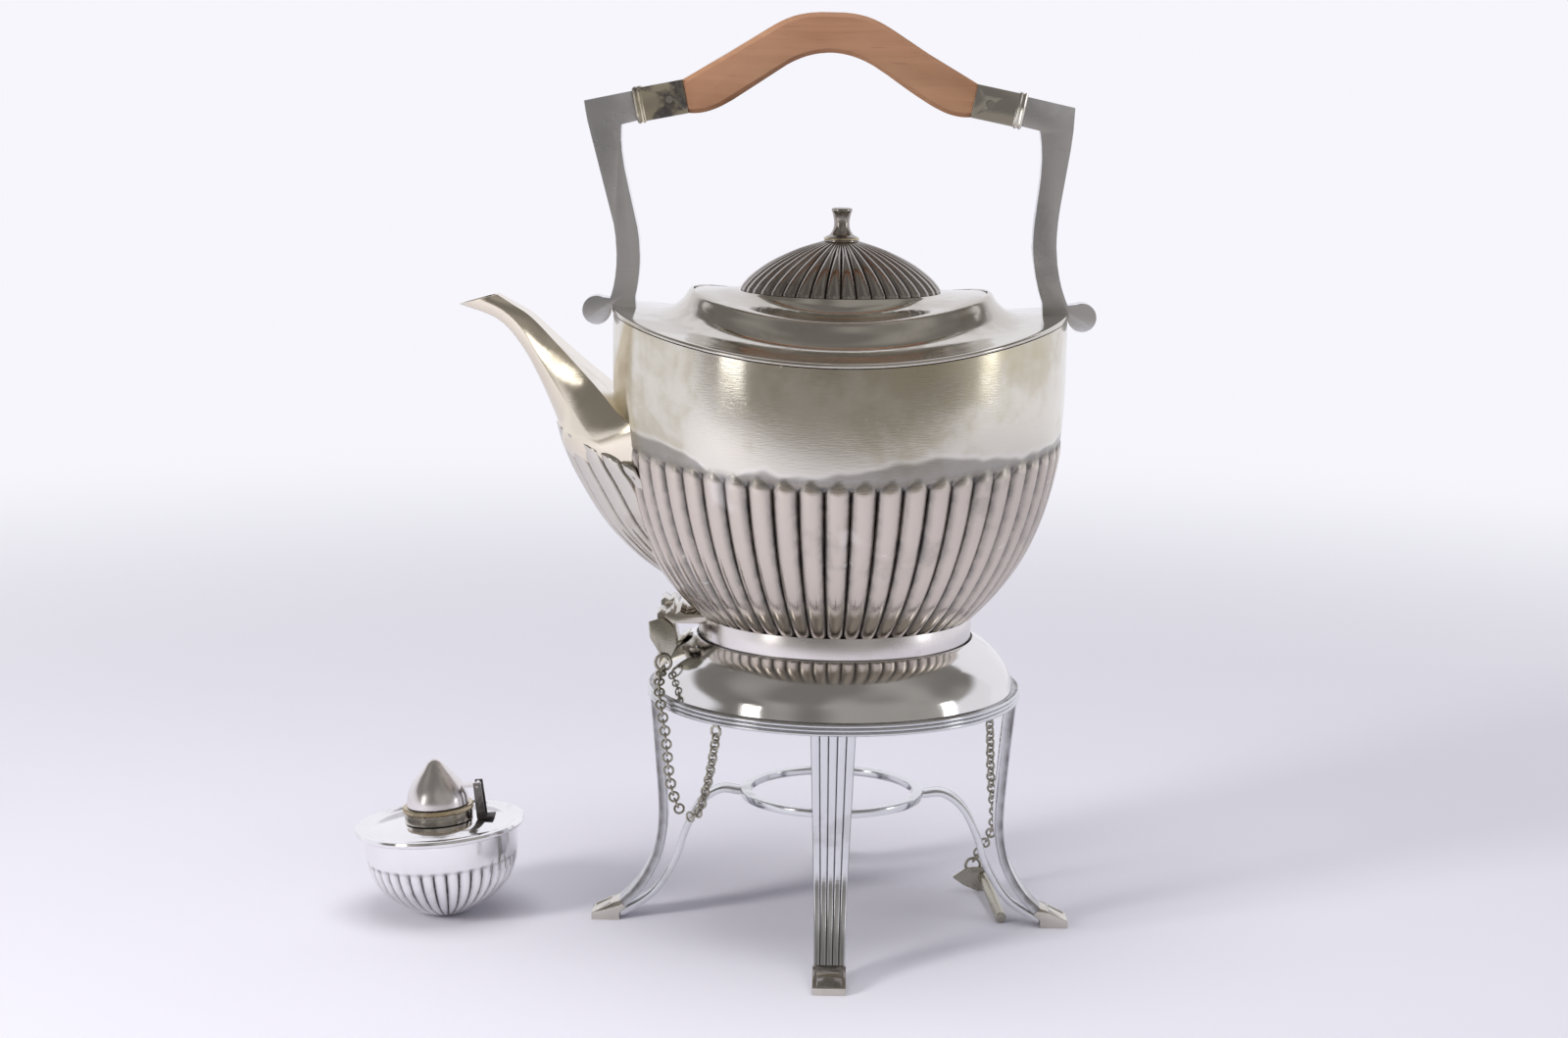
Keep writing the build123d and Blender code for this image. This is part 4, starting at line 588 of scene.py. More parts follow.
# The bowl's plate is pale and smooth over the line and rosy in the lobes. Oxide lies along a wavy shore on
# the line, with a pale edge over it, and a few pale spots are strewn over all of it.
bowl_plate, tree, shader = new_material("bowl_plate")
# The recess value is the dirt and painted shade in the valleys and round the lobes' tops.
bowl_dirt_and_shade = painted(tree, "recess")
in_lobes = painted(tree, "lobed")
over_line = painted(tree, "above")
place = object_place(tree)
band_layer = plating_layer(
    tree, bowl_dirt_and_shade, ((0.74, 0.71, 0.64), (0.56, 0.51, 0.38), (0.34, 0.30, 0.24)),
    amount=0.62, scale=16.0, polish=0.13, haze=0.05, brush=0.5,
)
lobe_layer = plating_layer(
    tree, bowl_dirt_and_shade, ((0.66, 0.59, 0.52), (0.54, 0.49, 0.43), (0.15, 0.15, 0.15)),
    amount=0.5, scale=30.0, polish=0.15, haze=0.06, brush=0.5,
)
waves = noise(tree, place, 17.0, 3.0, 0.3)
shore = minus(tree, over_line, times(tree, minus(tree, waves, 0.38), 1.5))
oxide = times(tree, soft_step(tree, shore, 0.07, -0.03), soft_step(tree, in_lobes, 0.4, 0.0))
shore_line = times(tree, soft_step(tree, shore, 0.0, 0.05), soft_step(tree, shore, 0.12, 0.06))
spots = soft_step(tree, noise(tree, place, 150.0, 3.0, 0.3), 0.70, 0.74, 0.0, 0.45)
colour = mixed(tree, in_lobes, band_layer["Color"], lobe_layer["Color"])
colour = mixed(tree, times(tree, oxide, 0.62), colour, (0.19, 0.185, 0.18, 1))
colour = mixed(tree, times(tree, shore_line, 0.35), colour, (0.85, 0.83, 0.80, 1))
colour = mixed(tree, spots, colour, (0.82, 0.80, 0.75, 1))
roughs = [(0, in_lobes), (2, band_layer["Roughness"]), (3, lobe_layer["Roughness"])]
rough = wired(tree, "ShaderNodeMix", roughs).outputs[0]
rough = plus(tree, rough, times(tree, oxide, 0.07))
rough = plus(tree, rough, times(tree, spots, 0.3))
metal(tree, shader, colour, rough, band_layer["Height"], 0.6)
piece(bowl, "kettle_bowl", "kettle", "tarnished_plate", bowl_plate, "kettle_body", sharp=60)

LINING_INSET = 3.3
wall = [(BELLY_RADIUS, RIM_EDGE_Z, RIM_RISE), (77.8, RIM_EDGE_Z, RIM_RISE), (77.4, 190, 8), (74.6, 177, 6)]
wall += [(bowl_radius(z) - LINING_INSET, z, saddle_lift(z)) for z in (165, 150, 135, 122, 116)]
floor_line = [(43.5, 110.0), (30, 109.2), (0, 109.2), (0, 108.0), (46.95, 108.0)]
wall += [*floor_line, (46.95, BOWL_BOTTOM_Z), (FOOT_RADIUS, BOWL_BOTTOM_Z)]
piece(spun(wall, 108, closed=False), "kettle_lining", "kettle", "tarnished_plate", dark_plate)

# Foot band: a plain hoop of brushed metal, soldered round the bowl's bottom. It stands in the dome's
# ledge, and its lower edge is the level that the spout is measured from.
brushed_plate = plated(
    "brushed_plate",
    ((0.80, 0.765, 0.75), (0.68, 0.64, 0.62), (0.20, 0.18, 0.18)),
    amount=0.45, scale=30, polish=0.25, haze=0.08, brush=0.5, bump=0.2,
)
KETTLE_FOOT_Z = 102.85
FOOT_BAND = [(FOOT_RADIUS, KETTLE_FOOT_Z), (FOOT_RADIUS, 113.45), (47.0, 113.45), (47.0, KETTLE_FOOT_Z)]
band = spun(rounded(FOOT_BAND, 0.3), 128)
piece(band, "kettle_foot_band", "kettle", "silver_plate", brushed_plate, "kettle_foot")

# Shoulder: the broad sloping ring of sheet on top of the bowl, with a bead on its rim and a collar that
# holds the lid in a rebate. Its rim follows the bowl's, low at the front and high at both sides.
SHOULDER_SLOPE = [
    (78.2, 210.6, RIM_RISE),
    (71, 210.9, 9.4),
    (64, 211.7, 8.3),
    (58.5, 213.6, 7.6),
    (54.8, 217.0, 7.0),
    (52.7, 220.6, 6.6),
]
COLLAR = [(51.9, 221.25, 6.5), (51.1, 221.3, 6.4), (51.1, 220.0, 6.4), (47.6, 219.8, 6.0), (47.6, 218.6, 6.0)]
SHOULDER_UNDERSIDE = [(56, 213.2, 7.2), (63.5, 210.3, 8.2), (77, 209.1, RIM_RISE)]
rim_bead = bead(78.75, 209.85, 0.75, RIM_RISE)[1:-1]
shoulder = spun([*rim_bead, *smooth_run(SHOULDER_SLOPE), *COLLAR, *SHOULDER_UNDERSIDE], 160)
piece(shoulder, "kettle_shoulder", "kettle", "silver_plate", bowed_plate, "shoulder")

# Lid: a saddle flange that drops in the collar's rebate, a waisted neck, a dome of 40 round lobes and a
# turned finial on a gilt washer. All of it is plated sheet, soldered together.
LID_NECK = [(49.5, 221.25, 6.2), (43, 221.6, 5.8), (38.6, 222.6, 5.0), (36.0, 224.6, 3.0), (35.0, 227.4, 0)]
neck = smooth_run(LID_NECK, 5)
flange = spun([(50.75, 220.2, 6.3), (50.75, 220.9, 6.3), *neck, (33.2, 227.5, 0), (37.5, 221.2, 5.2)], 128)
piece(flange, "lid_flange_neck", "lid", "silver_plate", bowed_plate, "lid_flange")
bezel = spun([(46.9, 220.3, 6.0), (46.9, 214.2, 0), (45.7, 214.2, 0), (45.7, 220.3, 6.0)], 96)
piece(bezel, "lid_bezel_band", "lid", "silver_plate", worn_plate, "lid_bezel")

LID_LOBES = 40
LID_DIP = 1.5
LID_CENTRE_Z = 222
LID_TOP_RADIUS = 6
LID_SKIN = [(34.9, 227.55), (34.1, 229.1), (31.0, 232.4), (24.6, 237.0), (15.5, 241.4), (6.3, 244.5)]
lid_rows = [(0, 226.8), (33.0, 226.8), (34.4, 227.2), *smooth_run(LID_SKIN), (0, 244.6)]
lid = spun(lid_rows, LID_LOBES * 10, closed=False)
recess = lid.verts.layers.float["recess"]
for vert in lid.verts:
    out = hypot(vert.co.x, vert.co.y)
    if out < LID_TOP_RADIUS or vert.co.z < 227.1:
        continue
    azimuth = atan2(vert.co.y, vert.co.x)
    across = across_lobe(azimuth, LID_LOBES)
    bent = crowded(across)
    dip = LID_DIP * min(1.0, (out - LID_TOP_RADIUS) / 10) * (1 - round_top(abs(bent)))
    azimuth += (bent - across) * pi / LID_LOBES
    # Dirt and painted shade darken each lobe towards its valleys.
    vert[recess] = max(0.0, (abs(across) - 0.3) / 0.7) ** 1.4
    over = vert.co.z - LID_CENTRE_Z
    kept = 1 - dip / hypot(out, over)
    vert.co.x = cos(azimuth) * out * kept
    vert.co.y = sin(azimuth) * out * kept
    if vert.co.z > 229:
        vert.co.z = LID_CENTRE_Z + over * kept
piece(lid, "lid_dome_lobes", "lid", "tarnished_plate", dark_plate, "lid_dome", sharp=60)

FINIAL_FOOT_Z = 244.62
FINIAL_STEM = [
    (6.0, 245.0), (5.7, 245.9), (4.0, 246.9), (2.9, 248.9), (2.7, 251.3), (3.2, 253.9), (3.65, 255.2)
]
stem = smooth_run(FINIAL_STEM, 5)
foot = [(0, FINIAL_FOOT_Z), (6.0, FINIAL_FOOT_Z)]
finial = spun([*foot, *stem, (3.5, 255.8), (2.9, 256.0), (0, 256.0)], 48, closed=False)
piece(finial, "lid_finial_stem", "lid", "tarnished_plate", dark_plate, "lid_finial")
washer = spun([*[p.xy for p in bead(5.7, 245.35, 0.5)], (5.2, 245.85), (5.2, 244.85)], 48)
piece(washer, "lid_finial_washer", "lid", "tarnished_plate", gilt)

# Handle: two flat cast arms that stand on the rim, and a boxed ferrule with a double bead on each, which
# takes one end of the grip. The left ferrule is blotched with dark tarnish.
arm_plate = plated(
    "arm_plate",
    ((0.86, 0.86, 0.88), (0.66, 0.66, 0.67), (0.13, 0.12, 0.12)),
    amount=0.5, scale=22, polish=0.24, haze=0.08, brush=0.4,
)
blotched = plated(
    "blotched_plate",
    ((0.60, 0.54, 0.42), (0.16, 0.15, 0.15), (0.08, 0.07, 0.07)),
    amount=0.72, scale=110, polish=0.2, haze=0.2,
)
for side, finish in (("left", blotched), ("right", bowed_plate)):
    arm = f"handle_arm_{side}"
    softened(f"handle_upright_{side}", 0.7, arm, "kettle", "silver_plate", arm_plate, segments=3)
    softened(f"handle_ferrule_{side}", 0.35, f"handle_box_{side}", "kettle", "silver_plate", finish)

# Grip: pale close-grained wood, arched over its whole length, with its long edges rounded and a thin
# polish. Its ends are cut to tenons that sit in the ferrules, where the rivets hold them.
wood, tree, shader = new_material("polished_wood")
place = object_place(tree)
fibres = noise(tree, stretched(tree, place, (18.0, 260.0, 260.0)), 1.0, 8.0, 0.6)
pores = noise(tree, stretched(tree, place, (90.0, 1500.0, 1500.0)), 1.0, 3.0)
clouds = noise(tree, place, 30.0, 3.0)
colour = mixed(tree, soft_step(tree, fibres, 0.3, 0.7), (0.41, 0.215, 0.12, 1), (0.32, 0.155, 0.08, 1))
colour = mixed(tree, soft_step(tree, clouds, 0.35, 0.7, 0.0, 0.5), colour, (0.45, 0.255, 0.155, 1))
colour = mixed(tree, soft_step(tree, pores, 0.62, 0.75, 0.0, 0.5), colour, (0.24, 0.12, 0.07, 1))
tree.links.new(colour, shader.inputs["Base Color"])
tree.links.new(soft_step(tree, fibres, 0.3, 0.7, 0.32, 0.46), shader.inputs["Roughness"])
grained = wired(tree, "ShaderNodeBump", [("Strength", 0.15), ("Distance", 0.0003), ("Height", fibres)])
tree.links.new(grained.outputs[0], shader.inputs["Normal"])
shader.inputs["Coat Weight"].default_value = 0.25
shader.inputs["Coat Roughness"].default_value = 0.2
softened("handle_grip", 0.9, "handle_wood", "kettle", "pale_wood", wood, angle=20, segments=3)

# Spout: a folded and soldered beak with a flat top, sharp side ridges and an open mouth. A station holds
# the top's reach, half width and height, the ridge's reach and half width, and the bottom's reach and
# height; reach is from the belly outwards, height from the kettle's foot.
spout_plate = plated(
    "spout_plate",
    ((0.84, 0.77, 0.64), (0.74, 0.66, 0.52), (0.30, 0.24, 0.18)),
    amount=0.5, scale=24, polish=0.13, haze=0.08,
)
SPOUT_WALL = 1.0
SPOUT_RUN = [
    (40.5, 3.3, 121.4, 44.2, 4.6, 54.2, 117.6),
    (34.6, 4.9, 118.0, 37.1, 5.6, 40.8, 112.6),
    (28.1, 6.5, 113.9, 30.5, 6.9, 32.8, 104.2),
    (19.0, 9.5, 105.2, 23.3, 10.4, 26.3, 93.0),
    (5.3, 18.0, 92.2, 13.4, 16.8, 19.8, 78.3),
    (-8.4, 33.0, 80.1, 2.9, 28.0, 15.4, 65.6),
    (-24.0, 36.0, 74.0, -14.0, 34.0, -6.0, 52.0),
]
# Under the ridge: the share of its half width, the share of the way down, and the share of the inset.
SPOUT_UNDERSIDE = [
    (0.92, 0.22, 0.2),
    (0.82, 0.45, 0.4),
    (0.67, 0.66, 0.6),
    (0.48, 0.84, 0.8),
    (0.24, 0.95, 0.9),
]


def spout_ring(station, inset=0.0):
    """One outline across the spout, from the middle of its top round to the middle of its top."""
    top_reach, top_half, top_z, ridge_reach, ridge_half, bottom_reach, bottom_z = station
    top = Vector((-BELLY_RADIUS - top_reach, 0, KETTLE_FOOT_Z + top_z))
    bottom = Vector((-BELLY_RADIUS - bottom_reach, 0, KETTLE_FOOT_Z + bottom_z))
    down = (bottom - top).normalized()
    length = (bottom - top).length
    ridge = (ridge_reach - top_reach) / (bottom_reach - top_reach)
    flat = top_half - inset
    half = [(0.5 * flat, inset), (flat, inset), (ridge_half - inset, ridge * length)]
    for wide, lower, inner in SPOUT_UNDERSIDE:
        half.append((wide * (ridge_half - inset), (ridge + lower * (1 - ridge)) * length - inner * inset))
    outline = [(0, inset), *half, (0, length - inset), *[(-x, y) for x, y in reversed(half)]]
    return [top + Vector((0, x, 0)) + down * y for x, y in outline]


spout_run = smooth_run(SPOUT_RUN, 5, np.array)
inner_rings = [spout_ring(station, SPOUT_WALL) for station in reversed(spout_run)]
beak = lofted(inner_rings + [spout_ring(station) for station in spout_run], capped=False)
piece(beak, "spout_beak", "kettle", "silver_plate", spout_plate, "spout", sharp=42)

# Apron under the spout: the bowl's sheet swells out below the beak in round lobes of its own, and turns
# in at its top edge. A station is its height over the kettle's foot, the reach of its nose and of its
# root from the kettle's axis, its half width, and how far it slopes down.
APRON_RUN = [
    (16.0, 51.0, 30.0, 16.0, 0.0),
    (23.0, 60.0, 36.0, 22.0, 0.0),
    (31.1, 70.9, 46.0, 27.0, 0.0),
    (43.2, 82.4, 55.0, 31.0, 0.0),
    (58.8, 92.1, 62.0, 34.5, 0.0),
    (70.0, 97.0, 65.0, 35.6, 0.25),
    (76.8, 98.9, 66.0, 36.0, 0.4),
]
# The turned-in edge: how much higher, shorter and narrower each ring is than the last one, and its inset.
APRON_EDGE = [(0.8, 0.7, 0.5, 0.3), (1.0, 2.0, 1.2, 0.8), (0.2, 6.0, 3.0, 1.2)]
APRON_LOBES = 11
LOBE_STEPS = 8
APRON_STEPS = APRON_LOBES * LOBE_STEPS


def apron_ring(height, nose, root, half_width, slope, inset=0.0):
    ring = []
    for step in range(APRON_STEPS + 1):
        across = 2 * ((step / LOBE_STEPS) % 1) - 1
        bent = crowded(across)
        angle = radians(-80 + 160 * (step + LOBE_STEPS / 2 * (bent - across)) / APRON_STEPS)
        depth = inset + 2.0 * (1 - round_top(abs(bent)))
        x = root + (nose - root) * cos(angle) ** 1.5 - depth * cos(angle)
        y = half_width * sin(angle) - depth * sin(angle)
        ring.append(Vector((-x, y, KETTLE_FOOT_Z + height - slope * (nose - x))))
    return ring


apron_rings = [apron_ring(*station) for station in smooth_run(APRON_RUN, 6, np.array)]
height, nose, root, half_width, slope = APRON_RUN[-1]
for higher, shorter, narrower, inset in APRON_EDGE:
    station = (height + higher, nose - shorter, root, half_width - narrower, slope)
    apron_rings.append(apron_ring(*station, inset))
# Dirt and painted shade darken the valleys between the apron's lobes.
valley_dirt_and_shade = {0: 1.0, 1: 0.6, LOBE_STEPS - 1: 0.6}
dirt_and_shade = [valley_dirt_and_shade.get(step % LOBE_STEPS, 0.0) for step in range(APRON_STEPS + 1)]
apron = lofted(apron_rings, dirt_and_shade, capped=False, closed=False)
piece(apron, "spout_apron", "kettle", "silver_plate", bowed_plate, sharp=60)

# Hinge pins: a drawn rod with a cast leaf for a head. One is in the left hinge, and one is pulled out and
# lies on the table.
for node, body in (("hinge_pin", "pin"), ("loose_pin", "second_pin")):
    softened(node, 0.55, f"{node}_leaf", body, "worn_plate", brassy_grey, segments=3)

# Chains and rings: round brass wire, bent to small closed rings, each hung at right angles to the next. A
# larger ring in the head of each pin holds its chain.
CHAIN_WIRE = 0.85
RING_WIRE = 1.1
WIRE_CORNERS = 8
WIRE_STEPS = 20


def joined_groups(bm):
    """The corners of each loose part of a mesh."""
    seen = set()
    for first in bm.verts:
        if first in seen:
            continue
        seen.add(first)
        group = [first]
        for vert in group:
            for edge in vert.link_edges:
                other = edge.other_vert(vert)
                if other not in seen:
                    seen.add(other)
                    group.append(other)
        yield group


def wire_ring(reach, wire, placed):
    """A round wire bent to a ring that reaches so far from its middle, put in its place."""
    link = bmesh.new()
    middle = reach - wire / 2
    circle = []
    for i in range(WIRE_CORNERS):
        turn = 2 * pi * i / WIRE_CORNERS
        circle.append(link.verts.new((middle + wire / 2 * cos(turn), 0, wire / 2 * sin(turn))))
    edges = [link.edges.new((circle[i - 1], circle[i])) for i in range(WIRE_CORNERS)]
    bmesh.ops.spin(
        link, geom=circle + edges, cent=(0, 0, 0), axis=(0, 0, 1), angle=2 * pi, steps=WIRE_STEPS,
        use_merge=True,
    )
    bmesh.ops.remove_doubles(link, verts=link.verts, dist=0.001)
    bmesh.ops.recalc_face_normals(link, faces=link.faces)
    bmesh.ops.transform(link, matrix=placed, verts=link.verts)
    return link


def ring_links(node, wire):
    """A round wire ring in the place of each loose ring of a CAD node."""
    loose = casting(node)
    bm = bmesh.new()
    bm.verts.layers.float.new("recess")
    for group in joined_groups(loose):
        points = np.array([tuple(v.co) for v in group])
        centre = points.mean(0)
        spread = points - centre
        normal = np.linalg.svd(spread)[2][2]
        reach = np.linalg.norm(spread - np.outer(spread @ normal, normal), axis=1).max()
        placed = Vector(normal).to_track_quat("Z", "Y").to_matrix().to_4x4()
        placed.translation = Vector(centre)
        link = wire_ring(reach, wire, placed)
        carried = bpy.data.meshes.new("link")
        link.to_mesh(carried)
        link.free()
        bm.from_mesh(carried)
        bpy.data.meshes.remove(carried)
    loose.free()
    return bm


for node, body, wire in (
    ("chain_left_pin_side", "chain_pin_side", CHAIN_WIRE),
    ("chain_left_stand_side", "chain_stand_side", CHAIN_WIRE),
    ("chain_right", "right_chain", CHAIN_WIRE),
    ("pin_ring", "pin", RING_WIRE),
    ("loose_pin_ring", "second_pin", RING_WIRE),
):
    piece(ring_links(node, wire), f"{node}_wire", body, "worn_plate", brassy_grey, node, sharp=80)

# Burner: a small spun bowl of 36 round lobes with a plain band and a top plate with a rolled rim, which
# is soldered on. It stands on the table and leans a little on its round bottom.
clean_plate = plated(
    "clean_plate",
    ((0.93, 0.92, 0.93), (0.76, 0.74, 0.74), (0.22, 0.21, 0.22)),
    amount=0.3, scale=60, polish=0.12, haze=0.08,
)
BURNER_X = -138
BURNER_LEAN = radians(-4.66)
leaned = Matrix.Translation((BURNER_X, 0, 0.325)) @ Matrix.Rotation(BURNER_LEAN, 4, "Y")
BURNER_LOBES = 36
BURNER_DIP = 1.7
BURNER_LINE_Z = 22
BURNER_SKIN = [(4.1, 0.0), (9.3, 1.4), (18.1, 6.3), (23.8, 12.2), (26.2, 17.5), (26.9, 21.0)]
BURNER_BAND = [(27.1, 22.2), (27.35, 24.5), (27.4, 27.0), (27.4, 31.3), (26.2, 31.3)]
BURNER_INSIDE = [(26.2, 27), (23.8, 19), (16, 9.5), (0, 2.6)]
rows = [(0, 0.0), *smooth_run(BURNER_SKIN), *BURNER_BAND, *BURNER_INSIDE]
burner = spun(rows, BURNER_LOBES * 10, closed=False)
recess = burner.verts.layers.float["recess"]
for vert in burner.verts:
    out = hypot(vert.co.x, vert.co.y)
    z = vert.co.z
    inside = (out < 24.2 and z > 17.9) or (out < 16.6 and z > 8) or (out < 3 and z > 2)
    if out < 4 or z > BURNER_LINE_Z or inside:
        continue
    azimuth = atan2(vert.co.y, vert.co.x)
    across = across_lobe(azimuth, BURNER_LOBES)
    bent = across + (crowded(across) - across) * ramp(BURNER_LINE_Z - z, 2.4)
    azimuth += (bent - across) * pi / BURNER_LOBES
    share = hypot(bent, max(0.0, (z - 19.5) / 2.4))
    valley = BURNER_DIP * min(1.0, (out - 4) / 8) * min(1.0, (BURNER_LINE_Z - z) / 2.2)
    out -= valley * (1 - round_top(share))
    # Dirt and painted shade darken each lobe towards its valleys.
    vert[recess] = 0.9 * ramp(share - 0.4, 0.55) ** 1.3
    vert.co.x = cos(azimuth) * out
    vert.co.y = sin(azimuth) * out
bmesh.ops.transform(burner, matrix=leaned, verts=burner.verts)
piece(burner, "burner_bowl_lobes", "burner", "tarnished_plate", clean_plate, "burner_bowl", sharp=60)

ROLLED_RIM = [
    (27.4, 31.4), (29.2, 31.45), (30.1, 32.1), (30.4, 32.9), (30.1, 33.7), (29.2, 34.1), (28.2, 33.9),
    (27.2, 33.3), (26.2, 32.9),
]
GROOVED_TOP = [
    (25.0, 33.0), (23.6, 33.0), (23.2, 33.25), (21.5, 33.3), (21.1, 33.55), (17.0, 33.9), (16.6, 34.05),
    (7.3, 34.6), (7.3, 33.6), (24.8, 31.5),
]
top = spun([*ROLLED_RIM, *GROOVED_TOP], 128)
bmesh.ops.transform(top, matrix=leaned, verts=top.verts)
piece(top, "burner_top_plate", "burner", "silver_plate", clean_plate, "burner_top")

# Wick: a knurled ring of gilt brass that is screwed down round the tube, and a stump of cotton in it with
# a charred end.
KNURL_TEETH = 90
KNURL_DEPTH = 0.4
KNURL = [(7.5, 38.17), (12.3, 38.17), (12.7, 38.5), (12.7, 39.7), (12.3, 40.03), (7.5, 40.03)]
knurl = spun(KNURL, KNURL_TEETH * 2)
for vert in knurl.verts:
    out = hypot(vert.co.x, vert.co.y)
    turn = (atan2(vert.co.y, vert.co.x) / (2 * pi) * KNURL_TEETH) % 1
    if out > 12.5 and 0.25 < turn < 0.75:
        vert.co.x *= 1 - KNURL_DEPTH / out
        vert.co.y *= 1 - KNURL_DEPTH / out
bmesh.ops.transform(knurl, matrix=leaned, verts=knurl.verts)
piece(knurl, "wick_knurled_ring", "burner", "bare_brass", gilt, "wick_ring", sharp=30)

cotton, tree, shader = new_material("cotton")
place = object_place(tree)
threads = noise(tree, place, 2200.0, 2.0)
char = noise(tree, place, 260.0, 3.0)
colour = mixed(tree, soft_step(tree, threads, 0.35, 0.65), (0.62, 0.56, 0.46, 1), (0.42, 0.36, 0.28, 1))
colour = mixed(tree, soft_step(tree, char, 0.5, 0.6, 0.0, 0.7), colour, (0.07, 0.05, 0.04, 1))
tree.links.new(colour, shader.inputs["Base Color"])
woolly = wired(tree, "ShaderNodeBump", [("Strength", 0.6), ("Distance", 0.0006), ("Height", threads)])
tree.links.new(woolly.outputs[0], shader.inputs["Normal"])
shader.inputs["Roughness"].default_value = 0.95
nodes["wick"].data.materials[0] = cotton

# Snuffer: a thin spun bell that drops over the wick, with a flat tab and a barrel soldered to its side.
# The barrel turns on the pin in the burner's post.
BELL_FOOT_Z = 40.35
BELL_SKIN = [
    (11.1, 0), (10.8, 2.8), (9.9, 5.6), (8.5, 8.0), (6.8, 10.2), (5.2, 12.0), (3.8, 13.7), (2.6, 15.2)
]
BELL_INSIDE = [(0, 15.4), (3.4, 11.6), (8.2, 5.6)]
HINGE_Z = 46.35
bell_rows = [(10.2, 0), *smooth_run(BELL_SKIN, 4), (1.4, 16.0), (0, 16.4), *BELL_INSIDE]
bell = spun([(r, BELL_FOOT_Z + z) for r, z in bell_rows], 64)
tab = bmesh.ops.create_cube(bell, size=1)["verts"]
bmesh.ops.scale(bell, vec=(5.6, 4.0, 1.1), verts=tab)
bmesh.ops.translate(bell, vec=(11.7, 0, HINGE_Z), verts=tab)
rod = bmesh.ops.create_cone(bell, cap_ends=True, segments=20, radius1=1.1, radius2=1.1, depth=4.0)
barrel = rod["verts"]
bmesh.ops.rotate(bell, cent=(0, 0, 0), matrix=Matrix.Rotation(radians(90), 3, "X"), verts=barrel)
bmesh.ops.translate(bell, vec=(14.9, 0, HINGE_Z), verts=barrel)
bmesh.ops.transform(bell, matrix=leaned, verts=bell.verts)
piece(bell, "snuffer_bell", "snuffer", "silver_plate", brushed_plate, "snuffer_cone")

# Studio: a pale lavender sweep of paper in a room. The metal shows the paper glowing far off and dark in
# front of it, and the camera sees it fade to plain white-lavender.
paper, tree, shader = new_material("paper_sweep")
place = object_place(tree)
tone = noise(tree, place, 3.0, 2.0)
tree.links.new(mixed(tree, tone, (0.80, 0.79, 0.86, 1), (0.84, 0.83, 0.90, 1)), shader.inputs["Base Color"])
shader.inputs["Roughness"].default_value = 0.9
shader.inputs["Specular IOR Level"].default_value = 0.1
spot = wired(tree, "ShaderNodeSeparateXYZ", [(0, place)]).outputs
rays = tree.nodes.new("ShaderNodeLightPath").outputs


def glowing(tree, kind, colour, strength=1.0):
    """An even light in a colour, from a surface or from the room."""
    return wired(tree, kind, [("Color", colour), ("Strength", strength)]).outputs[0]


def either(tree, share, a, b):
    return wired(tree, "ShaderNodeMixShader", [(0, share), (1, a), (2, b)]).outputs[0]


glow = glowing(tree, "ShaderNodeEmission", (0.925, 0.92, 0.975, 1))
gloom = glowing(tree, "ShaderNodeEmission", (0.32, 0.30, 0.28, 1))
shown = math_node(tree, "MAXIMUM", rays["Is Camera Ray"], rays["Is Glossy Ray"])
away = wired(tree, "ShaderNodeVectorMath", [(0, place)], operation="LENGTH").outputs["Value"]
far = times(tree, soft_step(tree, away, 0.3, 1.2), shown)
front = times(tree, soft_step(tree, spot["Y"], -0.30, -0.85), rays["Is Glossy Ray"])
backed = either(tree, far, shader.outputs[0], glow)
tree.links.new(either(tree, front, backed, gloom), tree.nodes["Material Output"].inputs["Surface"])

SWEEP_WIDTH = 6.4
SWEEP_FRONT = -2.2
CURVE_START = 1.0
CURVE_RADIUS = 1.2
curve = []
for step in range(21):
    turn = step * pi / 40
    curve.append((CURVE_START + CURVE_RADIUS * sin(turn), CURVE_RADIUS - CURVE_RADIUS * cos(turn)))
sheet = bmesh.new()
profile = [(SWEEP_FRONT, 0), *curve, (2.2, 2.8)]
line = [sheet.verts.new((-SWEEP_WIDTH / 2, y, z)) for y, z in profile]
edges = [sheet.edges.new(pair) for pair in zip(line, line[1:])]
grown = bmesh.ops.extrude_edge_only(sheet, edges=edges)["geom"]
far_side = [g for g in grown if isinstance(g, bmesh.types.BMVert)]
bmesh.ops.translate(sheet, vec=(SWEEP_WIDTH, 0, 0), verts=far_side)
bmesh.ops.recalc_face_normals(sheet, faces=sheet.faces)
floor_mesh = bpy.data.meshes.new("paper_sweep")
sheet.to_mesh(floor_mesh)
sheet.free()
floor_mesh.shade_smooth()
floor = bpy.data.objects.new("paper_sweep", floor_mesh)
bpy.context.collection.objects.link(floor)
floor_mesh.materials.append(paper)

# Room: bright all round and dark behind the camera and overhead, which only the metal shows. It gives the
# scene a weak even light, and the camera sees it pale.
world = bpy.data.worlds.new("room")
bpy.context.scene.world = world
world.use_nodes = True
tree = world.node_tree
tree.nodes.clear()
path = tree.nodes.new("ShaderNodeLightPath").outputs
way = tree.nodes.new("ShaderNodeTexCoord").outputs["Generated"]
parts = wired(tree, "ShaderNodeSeparateXYZ", [(0, way)]).outputs
toward = times(tree, parts["Y"], -1.0)
overhead = times(tree, math_node(tree, "MAXIMUM", parts["Z"], 0.0), 2.2)
dark = soft_step(tree, plus(tree, toward, overhead), 0.38, 0.72)
mottled = soft_step(tree, noise(tree, way, 1.3, 1.0, 0.2), 0.35, 0.65)
gloomy = mixed(tree, mottled, (0.20, 0.19, 0.18, 1), (0.37, 0.355, 0.34, 1))
room = glowing(tree, "ShaderNodeBackground", mixed(tree, dark, (0.86, 0.85, 0.90, 1), gloomy))
plain = glowing(tree, "ShaderNodeBackground", (0.93, 0.92, 0.98, 1), 0.36)
seen = glowing(tree, "ShaderNodeBackground", (0.93, 0.92, 0.97, 1))
lit = either(tree, path["Is Glossy Ray"], plain, room)
whole = either(tree, path["Is Camera Ray"], lit, seen)
wired(tree, "ShaderNodeOutputWorld", [("Surface", whole)])

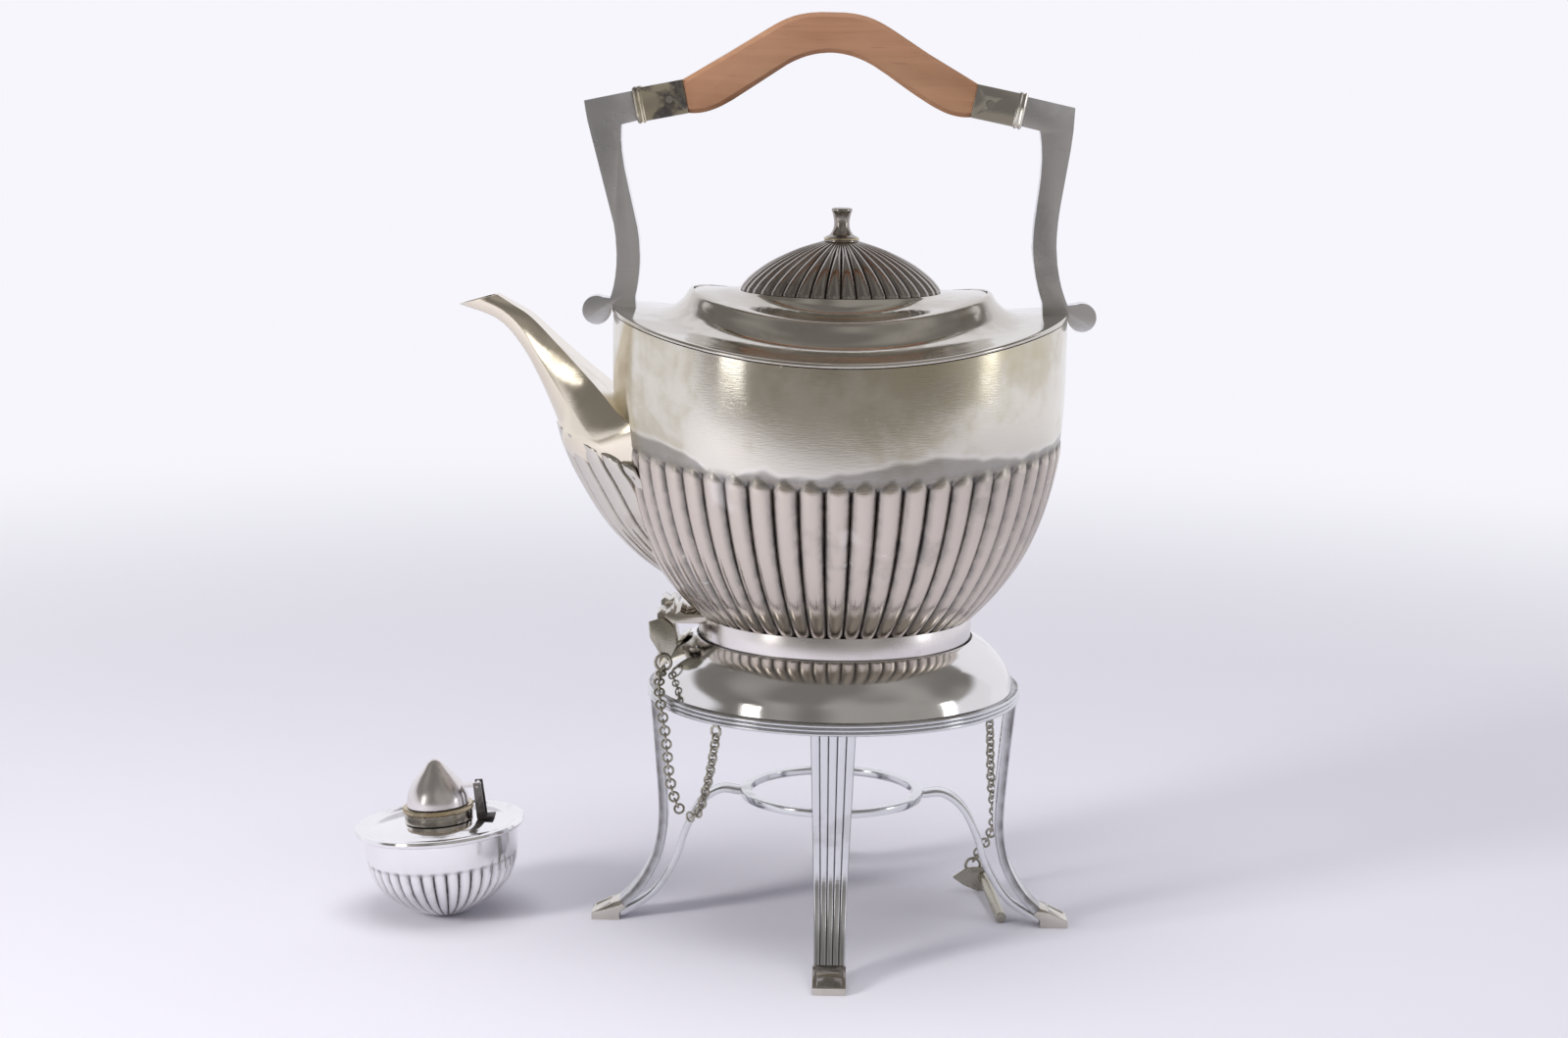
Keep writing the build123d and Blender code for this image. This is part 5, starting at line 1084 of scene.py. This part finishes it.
# Lights: a key box at the left and a broad one overhead light the kettle without showing in it. The metal
# shows only two weak boxes, one to each side.
AIM = Vector((0, 0, 0.15))


def soft_box(name, azimuth, elevation, distance, width, height, power, colour=(1, 1, 1), reflected=True):
    """A soft box aimed at the kettle from a direction; azimuth 0 is the camera's side."""
    light = bpy.data.lights.new(name, "AREA")
    light.shape = "RECTANGLE"
    light.size = width
    light.size_y = height
    light.energy = power
    light.color = colour
    lamp = bpy.data.objects.new(name, light)
    bpy.context.collection.objects.link(lamp)
    flat = cos(elevation)
    spot = AIM + distance * Vector((sin(azimuth) * flat, -cos(azimuth) * flat, sin(elevation)))
    lamp.visible_glossy = reflected
    aimed = (spot - AIM).to_track_quat("Z", "Y").to_matrix().to_4x4()
    lamp.matrix_world = Matrix.Translation(spot) @ aimed


WARM = (1.0, 0.98, 0.96)
COOL = (0.97, 0.98, 1.0)
soft_box("key_box", radians(-53), radians(18), 1.3, 0.25, 0.4, 9, WARM, reflected=False)
soft_box("left_box", radians(-53), radians(6), 1.3, 0.3, 0.5, 0.9, WARM)
soft_box("right_box", radians(78), radians(6), 1.4, 0.26, 0.5, 0.8, COOL)
soft_box("top_box", radians(10), radians(82), 1.5, 1.2, 1.2, 14.5, reflected=False)

# Camera: where the photo was taken from, a little over the kettle and looking down on it, with a slight
# turn and tilt.
PITCH, ROLL, YAW = 0.1678, 0.0151, -0.0140
ahead = Vector((sin(YAW) * cos(PITCH), cos(YAW) * cos(PITCH), -sin(PITCH)))
level_right = Vector((cos(YAW), -sin(YAW), 0))
level_up = level_right.cross(ahead)
right = cos(ROLL) * level_right + sin(ROLL) * level_up
up = -sin(ROLL) * level_right + cos(ROLL) * level_up
lens = bpy.data.cameras.new("camera")
lens.sensor_width = 36
lens.lens = 69.25
lens.clip_start = 0.01
camera = bpy.data.objects.new("camera", lens)
bpy.context.collection.objects.link(camera)
turned = Matrix((right, up, -ahead)).transposed().to_4x4()
turned.translation = Vector((-0.003807, -1.04935, 0.32399))
camera.matrix_world = turned
bpy.context.scene.camera = camera
bpy.context.scene.view_settings.view_transform = "Standard"
